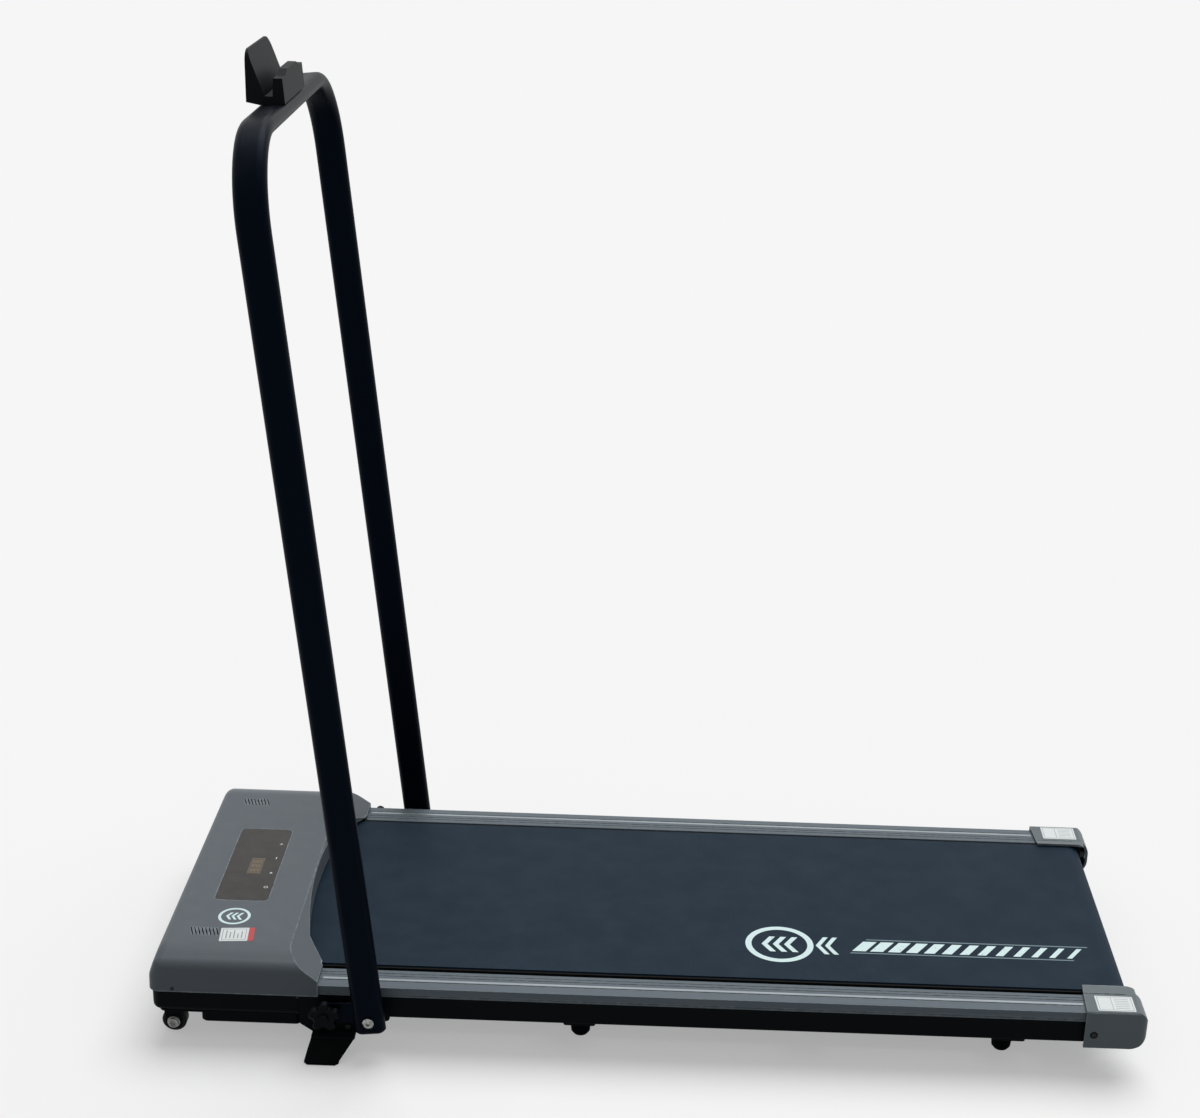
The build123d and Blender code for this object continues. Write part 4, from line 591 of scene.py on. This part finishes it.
def holder_black():
    plastic = Finish("holder_black", rgb(12, 17, 20), roughness=0.5, specular=0.06)
    plastic.drift(amount=0.2, scale=20.0)
    plastic.grain(scale=900.0, depth=0.05 * MM, softness=0.8)
    plastic.edges_wear_and_highlight(amount=0.35, colour=rgb(64, 70, 74), radius=0.7 * MM)
    plastic.dust(amount=0.03)
    return plastic.done()


def print_pale():
    """Pale ink, scuffed in small spots."""
    ink = Finish("print_pale", rgb(218, 240, 241), roughness=0.5, specular=0.2)
    cloud = object_noise(ink.tree, 260.0, detail=4.0)
    scuffs = remap(ink.tree, cloud, low=0.62, high=0.72, to_high=0.5)
    ink.drift(amount=0.08, scale=20.0)
    ink.tint(scuffs, rgb(140, 160, 166))
    ink.grain(scale=1500.0, depth=0.02 * MM)
    return ink.done()


def print_outline():
    ink = Finish("print_outline", rgb(120, 140, 148), roughness=0.55, specular=0.2)
    ink.drift(amount=0.2, scale=30.0)
    ink.grain(scale=1500.0, depth=0.02 * MM)
    return ink.done()


def label_white():
    paper = Finish("label_white", rgb(224, 230, 230), roughness=0.4, specular=0.25)
    paper.drift(amount=0.05, scale=60.0)
    paper.grain(scale=2500.0, depth=0.01 * MM)
    paper.edges_wear_and_highlight(amount=0.3, colour=rgb(180, 184, 184), radius=0.4 * MM)
    return paper.done()


def label_line():
    ink = Finish("label_line", rgb(150, 154, 156), roughness=0.5, specular=0.2)
    ink.drift(amount=0.1, scale=200.0)
    return ink.done()


def label_red():
    ink = Finish("label_red", rgb(188, 76, 80), roughness=0.45, specular=0.25)
    ink.drift(amount=0.12, scale=90.0)
    ink.grain(scale=2500.0, depth=0.01 * MM)
    return ink.done()


def readout_film():
    film = Finish("readout_film", rgb(92, 82, 66), roughness=0.25, specular=0.25)
    film.drift(amount=0.3, scale=80.0)
    return film.done()


def readout_digit():
    film = Finish("readout_digit", rgb(128, 112, 86), roughness=0.3, specular=0.25)
    film.drift(amount=0.15, scale=200.0)
    return film.done()


def icon_print():
    ink = Finish("icon_print", rgb(214, 222, 222), roughness=0.4, specular=0.2)
    ink.drift(amount=0.1, scale=200.0)
    return ink.done()


def screw_dark():
    steel = Finish("screw_dark", rgb(14, 15, 17), roughness=0.4, specular=0.2)
    steel.drift(amount=0.3, scale=200.0)
    steel.edges_wear_and_highlight(amount=0.3, colour=rgb(70, 72, 74), radius=0.3 * MM)
    return steel.done()


def pale_streak():
    """Thin pale streak, slightly metallic, duller here and there along its length."""
    alloy = Finish("pale_streak", rgb(132, 142, 147), roughness=0.3, specular=0.3, metallic=0.4)
    cloud = object_noise(alloy.tree, 14.0, detail=2.0, stretch=(1.0, 0.1, 0.1))
    dull = remap(alloy.tree, cloud, low=0.45, high=0.6, to_high=0.8)
    alloy.tint(dull, rgb(112, 122, 128))
    alloy.brush(scale=30.0, contrast=0.8, tint=rgb(168, 176, 180), dulling=0.1)
    return alloy.done()


# Each of these is named after the record's material slot that it finishes
SLOT_FINISHES = {
    make.__name__: make()
    for make in (
        hood_grey,
        cap_grey,
        display_black,
        led_board,
        cover_black,
        frame_black,
        handle_black,
        rail_alloy,
        belt_fabric,
        foot_rubber,
        wheel_plastic,
        roller_steel,
        zinc_bolt,
        board_wood,
        drive_rubber,
        pulley_alloy,
        flywheel_iron,
        motor_steel,
        controller_alloy,
        inlet_black,
        rocker_red,
        breaker_white,
        knob_black,
        holder_black,
    )
}
BLACKENED_SCREW = screw_dark()
PALE_INK = print_pale()
OUTLINE_INK = print_outline()
LABEL_PAPER = label_white()
LABEL_INK = label_line()
LABEL_RED = label_red()
READOUT_WINDOW = readout_film()
READOUT_DIGIT = readout_digit()
ICON_INK = icon_print()
PALE_STREAK = pale_streak()

# Blackened screws among the plated ones
NODE_FINISHES = {"foot_screws": BLACKENED_SCREW, "tension_bolts": BLACKENED_SCREW}


def dress_cad_nodes():
    """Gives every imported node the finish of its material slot."""
    for part in frame["record"]["subparts"]:
        node = frame["nodes"][part["node"]]
        finish = NODE_FINISHES.get(part["node"], SLOT_FINISHES[part["material_slot"]])
        for slot in node.material_slots:
            slot.material = finish


# ---------------------------------------------------------------- mesh helpers
WELD_DISTANCE = 0.0001 * MM
CORNER_SEGMENTS = 5
RING_SEGMENTS = 40
SMALL_SEGMENTS = 32            # for discs and small rings
MARK_SEGMENTS = 64

# Screw head: heights as shares of its height, and widths as shares of its radius
SCREW_RIM_HEIGHT = 0.45
SCREW_TOP_RADIUS = 0.7
SOCKET_INSET = 0.3
SOCKET_DEPTH = 0.3


def piece(name, body, material, bm):
    """Turns a finished bmesh into a piece that rides on a body."""
    bmesh.ops.remove_doubles(bm, verts=bm.verts, dist=WELD_DISTANCE)
    bmesh.ops.recalc_face_normals(bm, faces=bm.faces)
    mesh = bpy.data.meshes.new(name)
    bm.to_mesh(mesh)
    bm.free()
    mesh.materials.append(material)
    made = bpy.data.objects.new(name, mesh)
    bpy.context.scene.collection.objects.link(made)
    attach(made, body)


def at(x, y, z=0.0):
    """Transform that moves to a place."""
    return Matrix.Translation((x, y, z))


def facing(place, normal):
    """Transform that stands local Z along a normal, with local X kept level."""
    return Matrix.Translation(place) @ Vector(normal).to_track_quat("Z", "Y").to_matrix().to_4x4()


def edges_of(verts):
    """Edges that meet some vertices, each once, in a steady order."""
    return list(dict.fromkeys(edge for vert in verts for edge in vert.link_edges))


def faces_of(verts):
    """Faces that meet some vertices, each once, in a steady order."""
    return list(dict.fromkeys(face for vert in verts for face in vert.link_faces))


def verts_in(items):
    """Vertices among the results of a mesh operator."""
    return [item for item in items if isinstance(item, bmesh.types.BMVert)]


def thicken(bm, faces, thickness):
    """Raises flat faces along local Z; returns the vertices of the top."""
    top = verts_in(bmesh.ops.extrude_face_region(bm, geom=faces)["geom"])
    bmesh.ops.translate(bm, vec=(0, 0, thickness), verts=top)
    return top


def add_plate(bm, transform, length, width, thickness, corner=0.0):
    """Plate on local XY with its underside at local Z = 0 and rounded corners."""
    size = Matrix.Diagonal((length, width, thickness, 1))
    made = bmesh.ops.create_cube(bm, size=1, matrix=at(0, 0, thickness / 2) @ size)["verts"]
    if corner:
        upright = [
            edge
            for edge in edges_of(made)
            if abs(edge.verts[0].co.z - edge.verts[1].co.z) > thickness / 2
        ]
        rounded = bmesh.ops.bevel(
            bm,
            geom=upright,
            offset=corner,
            affect="EDGES",
            segments=CORNER_SEGMENTS,
            profile=0.5,
            material=-1,
        )
        kept = [vert for vert in made if vert.is_valid]
        new = [vert for face in rounded["faces"] for vert in face.verts]
        made = list(dict.fromkeys(kept + new))
    bmesh.ops.transform(bm, matrix=transform, verts=made)


def add_frame_line(bm, transform, length, width, line, thickness):
    """Thin rectangular outline on local XY."""
    for side in (-1, 1):
        add_plate(bm, transform @ at(0, side * width / 2), length, line, thickness)
        add_plate(bm, transform @ at(side * length / 2, 0), line, width + line, thickness)


def add_ring(bm, transform, radius, bore, thickness, segments=RING_SEGMENTS):
    """Flat ring on local XY."""
    outer = bmesh.ops.create_circle(bm, segments=segments, radius=radius)["verts"]
    inner = verts_in(bmesh.ops.extrude_edge_only(bm, edges=edges_of(outer))["geom"])
    bmesh.ops.scale(bm, vec=(bore / radius, bore / radius, 1), verts=inner)
    top = thicken(bm, faces_of(inner), thickness)
    bmesh.ops.transform(bm, matrix=transform, verts=outer + inner + top)


def add_disc(bm, transform, radius, height, top_radius=None, segments=SMALL_SEGMENTS):
    """Round head on local XY, with its underside at local Z = 0; returns its vertices."""
    return bmesh.ops.create_cone(
        bm,
        cap_ends=True,
        segments=segments,
        radius1=radius,
        radius2=top_radius or radius,
        depth=height,
        matrix=transform @ at(0, 0, height / 2),
    )["verts"]


def add_screw(bm, transform, radius, height):
    """Domed screw head with a round socket."""
    rim_height = SCREW_RIM_HEIGHT * height
    add_disc(bm, transform, radius, rim_height)
    top_radius = SCREW_TOP_RADIUS * radius
    dome = add_disc(bm, transform @ at(0, 0, rim_height), radius, height - rim_height, top_radius)
    to_local = transform.inverted()
    top = max(faces_of(dome), key=lambda face: (to_local @ face.calc_center_median()).z)
    bmesh.ops.inset_region(bm, faces=[top], thickness=SOCKET_INSET * radius)
    sink = transform.to_3x3() @ Vector((0, 0, -SOCKET_DEPTH * height))
    bmesh.ops.translate(bm, vec=sink, verts=list(top.verts))


def flat_bar(bm, length, width, rows):
    """Flat rectangle on local XY, split into rows across its width; returns its vertices."""
    half_unit = 0.5
    made = bmesh.ops.create_grid(bm, x_segments=1, y_segments=rows, size=half_unit)["verts"]
    bmesh.ops.scale(bm, vec=(length, width, 1), verts=made)
    return made


def add_chevron(bm, transform, length, width, reach, thickness):
    """Arrow-shaped bar on local XY that points along local -X."""
    made = flat_bar(bm, length, width, rows=2)
    middle = [vert for vert in made if abs(vert.co.y) < width / 4]
    bmesh.ops.translate(bm, vec=(-reach, 0, 0), verts=middle)
    top = thicken(bm, faces_of(made), thickness)
    bmesh.ops.transform(bm, matrix=transform, verts=made + top)


def add_slanted_bar(bm, transform, length, width, slant, thickness):
    """Parallelogram on local XY; its +Y side is shifted along X by the slant."""
    made = flat_bar(bm, length, width, rows=1)
    for vert in made:
        vert.co.x += slant * vert.co.y / width
    top = thicken(bm, faces_of(made), thickness)
    bmesh.ops.transform(bm, matrix=transform, verts=made + top)


# ---------------------------------------------------------------- printed marks
PRINT_THICKNESS = 0.12 * MM
FINE_PRINT = 0.05 * MM         # thickness of the prints on the labels and on the glass
LABEL_THICKNESS = 0.2 * MM

# Heights of the prints, just clear of what they lie on
BELT_PRINT_Z = belt_high.z + 0.03 * MM
HOOD_PRINT_Z = hood_high.z + 0.02 * MM
GLASS_PRINT_Z = glass_high.z + 0.02 * MM

GLASS_MIDDLE_X = (glass_low.x + glass_high.x) / 2
GLASS_MIDDLE_Y = (glass_low.y + glass_high.y) / 2

# Direction mark, as shares of its ring's radius
MARK_BORE = 0.82
MARK_SHIFT = 0.13
MARK_PITCH = 0.33
CHEVRON_LENGTH = 0.17
CHEVRON_WIDTH = 0.84
CHEVRON_REACH = 0.24


def add_direction_mark(bm, place, radius):
    """Ring with three chevrons that point towards the hood."""
    add_ring(bm, place, radius, MARK_BORE * radius, PRINT_THICKNESS, MARK_SEGMENTS)
    for step in (-1, 0, 1):
        add_chevron(
            bm,
            place @ at(radius * (MARK_SHIFT + MARK_PITCH * step), 0),
            CHEVRON_LENGTH * radius,
            CHEVRON_WIDTH * radius,
            CHEVRON_REACH * radius,
            PRINT_THICKNESS,
        )


def belt_emblem():
    """Direction mark near the left edge of the belt, with two loose chevrons behind it."""
    from_rear = 452 * MM
    from_edge = 84 * MM
    radius = 44 * MM
    loose_places = (60.5 * MM, 72.5 * MM)
    loose_length = 6.2 * MM
    loose_width = 42 * MM
    loose_reach = 10.5 * MM
    bm = bmesh.new()
    centre = at(cad_high.x - from_rear, belt_low.y + from_edge, BELT_PRINT_Z)
    add_direction_mark(bm, centre, radius)
    for x in loose_places:
        add_chevron(bm, centre @ at(x, 0), loose_length, loose_width, loose_reach, PRINT_THICKNESS)
    piece("belt_emblem", "base", PALE_INK, bm)


def belt_bars():
    """Row of slanted bars that thin out towards the rear, with a thin line along each side."""
    first = cad_high.x - 342 * MM
    last = cad_high.x - 71 * MM
    middle_y = belt_low.y + 85.5 * MM
    bar_count = 13
    first_length = 17.5 * MM
    shortening = 0.9 * MM          # from each bar to the next
    bar_width = 24 * MM
    slant = 16 * MM
    line_width = 2.2 * MM
    line_offset = 16.8 * MM
    line_overhang = 16 * MM
    fill = bmesh.new()
    lines = bmesh.new()
    for step in range(bar_count):
        place = at(first + step * (last - first) / (bar_count - 1), middle_y, BELT_PRINT_Z)
        length = first_length - step * shortening
        add_slanted_bar(fill, place, length, bar_width, slant, PRINT_THICKNESS)
    lean = slant / bar_width
    line_length = last - first + line_overhang
    for side in (-1, 1):
        offset = side * line_offset
        place = at((first + last) / 2 + offset * lean, middle_y + offset, BELT_PRINT_Z)
        add_slanted_bar(lines, place, line_length, line_width, line_width * lean, PRINT_THICKNESS)
    piece("belt_bars", "base", PALE_INK, fill)
    piece("belt_bar_lines", "base", OUTLINE_INK, lines)


def hood_emblem():
    """The same direction mark, small, on the hood beside the glass."""
    from_side = 105 * MM
    radius = 20.5 * MM
    bm = bmesh.new()
    add_direction_mark(bm, at(GLASS_MIDDLE_X, hood_low.y + from_side, HOOD_PRINT_Z), radius)
    piece("hood_emblem", "base", PALE_INK, bm)


def hood_sticker():
    """White sticker with a red end and a few plain ruled lines, beside the direction mark."""
    from_front = 98.5 * MM
    from_side = 60 * MM
    turn_degrees = 5
    length = 35 * MM
    width = 32 * MM
    corner = 1 * MM
    end_x = 21.2 * MM
    end_length = 7.2 * MM
    border_length = 29 * MM
    border_width = 26 * MM
    border_line = 0.8 * MM
    rule_pitch = 4.8 * MM
    rule_line = 1.4 * MM
    rule_foot = -9.5 * MM
    rule_lengths = (19 * MM, 15 * MM, 19 * MM, 11 * MM, 17 * MM)
    white = bmesh.new()
    red = bmesh.new()
    rules = bmesh.new()
    place = at(hood_low.x + from_front, hood_low.y + from_side, HOOD_PRINT_Z)
    middle = place @ Matrix.Rotation(math.radians(turn_degrees), 4, "Z")
    add_plate(white, middle, length, width, LABEL_THICKNESS, corner)
    add_plate(red, middle @ at(end_x, 0), end_length, width, LABEL_THICKNESS, corner)
    top = middle @ at(0, 0, LABEL_THICKNESS)
    add_frame_line(rules, top, border_length, border_width, border_line, FINE_PRINT)
    for index, rule_length in enumerate(rule_lengths):
        x = (index - (len(rule_lengths) - 1) / 2) * rule_pitch
        rule = top @ at(x, rule_foot + rule_length / 2)
        add_plate(rules, rule, rule_line, rule_length, FINE_PRINT)
    piece("hood_sticker", "base", LABEL_PAPER, white)
    piece("hood_sticker_end", "base", LABEL_RED, red)
    piece("hood_sticker_rules", "base", LABEL_INK, rules)


def cap_labels():
    """White labels with a thin printed border and plain ruled lines on top of the end caps."""
    from_rear = 40 * MM
    from_side = 21 * MM
    below_top = 2.98 * MM          # the label's face of the cap lies below its highest edge
    length = 47 * MM
    width = 34 * MM
    corner = 1.5 * MM
    border_length = 42 * MM
    border_width = 29 * MM
    border_line = 0.6 * MM
    divider_x = -4 * MM
    row_count = 6
    row_pitch = 4.2 * MM
    row_x = 8.5 * MM
    row_length = 17.5 * MM
    row_line = 0.7 * MM
    x = cap_high.x - from_rear
    y = cap_high.y - from_side
    for side, name in SIDES:
        paper = bmesh.new()
        border = bmesh.new()
        place = at(x, side * y, cap_high.z - below_top)
        add_plate(paper, place, length, width, LABEL_THICKNESS, corner)
        top = place @ at(0, 0, LABEL_THICKNESS)
        add_frame_line(border, top, border_length, border_width, border_line, FINE_PRINT)
        add_plate(border, top @ at(divider_x, 0), border_line, border_width, FINE_PRINT)
        for row in range(row_count):
            row_y = ((row_count - 1) / 2 - row) * row_pitch
            add_plate(border, top @ at(row_x, row_y), row_length, row_line, FINE_PRINT)
        piece("cap_label_" + name, "base", LABEL_PAPER, paper)
        piece("cap_label_border_" + name, "base", LABEL_INK, border)


def add_digit(bm, centre, segment, line, thickness):
    """Seven-segment eight on local XY, upright along local -X."""
    bar = segment - line
    for x in (-segment, 0, segment):
        add_plate(bm, centre @ at(x, 0), line, bar, thickness)
    for x in (-segment / 2, segment / 2):
        for y in (-segment / 2, segment / 2):
            add_plate(bm, centre @ at(x, y), bar, line, thickness)


def readout():
    """Dim window of the digit display, printed on the glass, with its three digits."""
    rearward = 3 * MM
    leftward = 6 * MM
    window_length = 18 * MM
    window_width = 43 * MM
    corner = 1 * MM
    digit_pitch = 11.5 * MM
    segment = 4.8 * MM
    line = 1.1 * MM
    thickness = 0.04 * MM
    window = bmesh.new()
    digits = bmesh.new()
    centre = at(GLASS_MIDDLE_X + rearward, GLASS_MIDDLE_Y - leftward, GLASS_PRINT_Z)
    add_plate(window, centre, window_length, window_width, FINE_PRINT, corner)
    for column in (-1, 0, 1):
        place = centre @ at(0, column * digit_pitch, FINE_PRINT)
        add_digit(digits, place, segment, line, thickness)
    piece("readout_window", "base", READOUT_WINDOW, window)
    piece("readout_digits", "base", READOUT_DIGIT, digits)


def touch_icons():
    """Four plain touch marks in a row: plus, minus, start and stop."""
    rearward = 26 * MM
    plus_y = 56 * MM
    minus_y = 17 * MM
    start_y = -24 * MM
    stop_y = -62 * MM
    stroke = 1.1 * MM
    plus_size = 4.6 * MM
    minus_stroke = 1.4 * MM
    minus_size = 5.2 * MM
    start_radius = 2.6 * MM
    stop_radius = 2.8 * MM
    stop_bore = 1.9 * MM
    bm = bmesh.new()
    row = at(GLASS_MIDDLE_X + rearward, GLASS_MIDDLE_Y, GLASS_PRINT_Z)
    add_plate(bm, row @ at(0, plus_y), plus_size, stroke, FINE_PRINT)
    add_plate(bm, row @ at(0, plus_y), stroke, plus_size, FINE_PRINT)
    add_plate(bm, row @ at(0, minus_y), minus_stroke, minus_size, FINE_PRINT)
    add_disc(bm, row @ at(0, start_y), start_radius, FINE_PRINT, segments=3)
    add_ring(bm, row @ at(0, stop_y), stop_radius, stop_bore, FINE_PRINT, SMALL_SEGMENTS)
    piece("touch_icons", "base", ICON_INK, bm)


def front_face(node, height_test):
    """Middle and normal of the widest forward face of a node at heights that pass a test."""
    least_forward = 0.8
    forward = [
        face
        for face in node.data.polygons
        if face.normal.x < -least_forward and height_test(face.center.z)
    ]
    widest = max(forward, key=lambda face: face.area)
    normal = node.matrix_world.to_3x3() @ widest.normal
    return node.matrix_world @ widest.center, normal.normalized()


def rocker_marks():
    """The usual line and ring of a power switch, on the two halves of the rocker."""
    thickness = 0.08 * MM
    line = 0.9 * MM
    line_length = 4.2 * MM
    ring_radius = 2.1 * MM
    ring_bore = 1.4 * MM
    middle_z = (rocker_low.z + rocker_high.z) / 2
    rocker = frame["nodes"]["rocker_button"]
    line_place = facing(*front_face(rocker, lambda z: z > middle_z))
    ring_place = facing(*front_face(rocker, lambda z: z <= middle_z))
    bm = bmesh.new()
    add_plate(bm, line_place, line, line_length, thickness)
    add_ring(bm, ring_place, ring_radius, ring_bore, thickness, SMALL_SEGMENTS)
    piece("rocker_marks", "power_rocker", ICON_INK, bm)


# ---------------------------------------------------------------- rail streaks and fasteners
def rail_streaks():
    """Bright strip on the top of each foot rail, a little outside its middle."""
    end_gap = 4 * MM
    share_across = 0.56
    width = 4.2 * MM
    thickness = 0.15 * MM
    length = rail_high.x - rail_low.x - 2 * end_gap
    x = (rail_high.x + rail_low.x) / 2
    y = rail_low.y + share_across * (rail_high.y - rail_low.y)
    for side, name in SIDES:
        bm = bmesh.new()
        add_plate(bm, at(x, side * y, rail_high.z), length, width, thickness)
        piece("rail_streak_" + name, "base", PALE_STREAK, bm)


def add_side_screws(bm, x, y, z, radius, height):
    """The same screw on the left and the right side, facing outwards."""
    for side in (-1, 1):
        add_screw(bm, facing((x, side * y, z), (0, side, 0)), radius, height)


def side_screws():
    """One small screw on each side of the hood, and one on each side of the front cover."""
    bm = bmesh.new()
    x = hood_low.x + 31 * MM
    z = hood_low.z + 4 * MM
    add_side_screws(bm, x, hood_high.y, z, radius=2.2 * MM, height=0.9 * MM)
    piece("hood_side_screws", "base", BLACKENED_SCREW, bm)
    bm = bmesh.new()
    y = tube_high.y + 3 * MM
    z = cover_high.z - 16.5 * MM
    add_side_screws(bm, cover_high.x, y, z, radius=2.4 * MM, height=1.0 * MM)
    piece("cover_side_screws", "base", BLACKENED_SCREW, bm)


def cap_screws():
    """Screw on the outer side of each end cap, in a dark ring over a dark disc; the disc is
    painted shade of the screw hole.
    """
    ring_radius = 4.8 * MM
    ring_bore = 3.6 * MM
    ring_height = 0.35 * MM
    hole_shade_radius = 3.8 * MM
    hole_shade_height = 0.12 * MM
    rings_and_hole_shade = bmesh.new()
    heads = bmesh.new()
    x = cap_low.x + 11.5 * MM
    z = cap_low.z + 18.5 * MM
    for side in (-1, 1):
        place = facing((x, side * cap_high.y, z), (0, side, 0))
        add_ring(rings_and_hole_shade, place, ring_radius, ring_bore, ring_height)
        # Dark disc that shows around the screw head: painted shade of the hole it sits in.
        add_disc(rings_and_hole_shade, place, hole_shade_radius, hole_shade_height)
    add_side_screws(heads, x, cap_high.y, z, radius=3.1 * MM, height=0.9 * MM)
    piece("cap_screw_rings_and_hole_shade", "base", SLOT_FINISHES["knob_black"], rings_and_hole_shade)
    piece("cap_screws", "base", BLACKENED_SCREW, heads)


def pan_screws():
    """Screws that hold the belly pan, in a row at its front and a row at its rear."""
    down = (0, 0, -1)
    front_row = (pan_low.x + 8 * MM, tube_low.z - 2 * MM)
    rear_row = (pan_high.x - 16 * MM, pan_low.z)
    bm = bmesh.new()
    for x, z in (front_row, rear_row):
        for y in (-200 * MM, -70 * MM, 70 * MM, 200 * MM):
            add_screw(bm, facing((x, y, z), down), radius=3.0 * MM, height=1.2 * MM)
    piece("pan_screws", "base", BLACKENED_SCREW, bm)


def bar_screws():
    """Pairs of screws that hold the ends of the foot bars to the side tubes."""
    bar_half_width = 20 * MM
    half_gap = 11 * MM
    from_end = 11 * MM
    down = (0, 0, -1)
    y = bar_high.y - from_end
    bm = bmesh.new()
    for bar_x in (bar_low.x + bar_half_width, bar_high.x - bar_half_width):
        for side in (-1, 1):
            for x in (bar_x - half_gap, bar_x + half_gap):
                place = facing((x, side * y, bar_low.z), down)
                add_screw(bm, place, radius=3.4 * MM, height=1.6 * MM)
    piece("bar_screws", "base", SLOT_FINISHES["zinc_bolt"], bm)


def inlet_pins():
    """Plated skins of the power inlet's three blades, the middle one higher than the others."""
    depth = 16 * MM
    side_step = 7 * MM
    side_rise = 1 * MM
    middle_rise = 4 * MM
    blade_thickness = 2.3 * MM
    blade_width = 4.3 * MM
    blade_length = 12.2 * MM
    corner = 0.4 * MM
    forward = (-1, 0, 0)
    x = inlet_low.x + depth
    y = (inlet_low.y + inlet_high.y) / 2
    z = (inlet_low.z + inlet_high.z) / 2
    bm = bmesh.new()
    for step, rise in ((-side_step, side_rise), (0, middle_rise), (side_step, side_rise)):
        place = facing((x, y + step, z + rise), forward)
        add_plate(bm, place, blade_thickness, blade_width, blade_length, corner)
    piece("inlet_pins", "base", SLOT_FINISHES["zinc_bolt"], bm)


# ---------------------------------------------------------------- studio
WHITE = grey(1.0)
WORLD_LIGHT = 0.3              # the world's strength where it only lights the object
WORLD_SEEN = 0.96              # and where it is seen, also in a reflection
FLOOR_SIZE = 60.0
FLOOR_LIT = grey(0.3)          # the floor's colour where it only throws light back
FLOOR_SEEN = grey(0.6)
FLOOR_GLOW = 0.36
SKY_STRENGTH = 2.2
SKY_SPREAD = 50                # degrees across
SKY_TILT = (-22, 12, 0)

CAMERA_PLACE = (-0.0004, -2.5375, 1.5371)
CAMERA_TURN = (67.78, -1.638, 1.147)
LENS_LENGTH = 64.87            # millimetres, on a sensor of the width below
SENSOR_WIDTH = 36
LENS_SHIFT = (-0.0362, 0.0479)
FAR_LIMIT = 100


def radians_of(angles):
    """Three angles in radians, from degrees."""
    return [math.radians(angle) for angle in angles]


def seen_mask(tree):
    """One for rays from the camera, a mirror or a clear body, and zero for the rest."""
    path = tree.nodes.new("ShaderNodeLightPath").outputs
    direct = calc(tree, "MAXIMUM", path["Is Camera Ray"], path["Is Glossy Ray"])
    return calc(tree, "MAXIMUM", direct, path["Is Transmission Ray"])


def studio_world():
    """White surroundings, weaker as a light than to the eye."""
    world = bpy.data.worlds.new("studio")
    bpy.context.scene.world = world
    world.use_nodes = True
    tree = world.node_tree
    background = tree.nodes["Background"]
    background.inputs["Color"].default_value = WHITE
    strength = switch(tree, seen_mask(tree), WORLD_LIGHT, WORLD_SEEN)
    link(tree, background.inputs["Strength"], strength)


def studio_floor():
    """Matt floor that glows to the eye, so that only the soft shadow shows on it."""
    floor_finish = Finish("studio_floor", FLOOR_SEEN, roughness=1.0, specular=0.0)
    tree = floor_finish.tree
    seen = seen_mask(tree)
    floor_finish.colour = blend_colour(tree, seen, FLOOR_LIT, FLOOR_SEEN)
    floor_finish.set("Emission Color", WHITE)
    floor_finish.set("Emission Strength", switch(tree, seen, 0.0, FLOOR_GLOW))
    bpy.ops.mesh.primitive_plane_add(size=FLOOR_SIZE, location=(0, 0, 0))
    floor = bpy.context.object
    floor.name = "studio_floor"
    floor.data.materials.append(floor_finish.done())


def studio_sky():
    """One wide, soft lamp from above."""
    sky = bpy.data.lights.new("soft_sky", "SUN")
    sky.energy = SKY_STRENGTH
    sky.angle = math.radians(SKY_SPREAD)
    lamp = bpy.data.objects.new("soft_sky", sky)
    lamp.rotation_euler = radians_of(SKY_TILT)
    bpy.context.scene.collection.objects.link(lamp)


def camera():
    """View from the left, above the deck."""
    lens = bpy.data.cameras.new("camera")
    lens.lens = LENS_LENGTH
    lens.sensor_width = SENSOR_WIDTH
    lens.shift_x, lens.shift_y = LENS_SHIFT
    lens.clip_end = FAR_LIMIT
    view = bpy.data.objects.new("camera", lens)
    view.location = CAMERA_PLACE
    view.rotation_euler = radians_of(CAMERA_TURN)
    bpy.context.scene.collection.objects.link(view)
    bpy.context.scene.camera = view


# ---------------------------------------------------------------- the scene
dress_cad_nodes()
belt_emblem()
belt_bars()
hood_emblem()
hood_sticker()
cap_labels()
readout()
touch_icons()
rocker_marks()
rail_streaks()
side_screws()
cap_screws()
pan_screws()
bar_screws()
inlet_pins()
studio_world()
studio_floor()
studio_sky()
camera()

bpy.context.scene.view_settings.view_transform = "Standard"
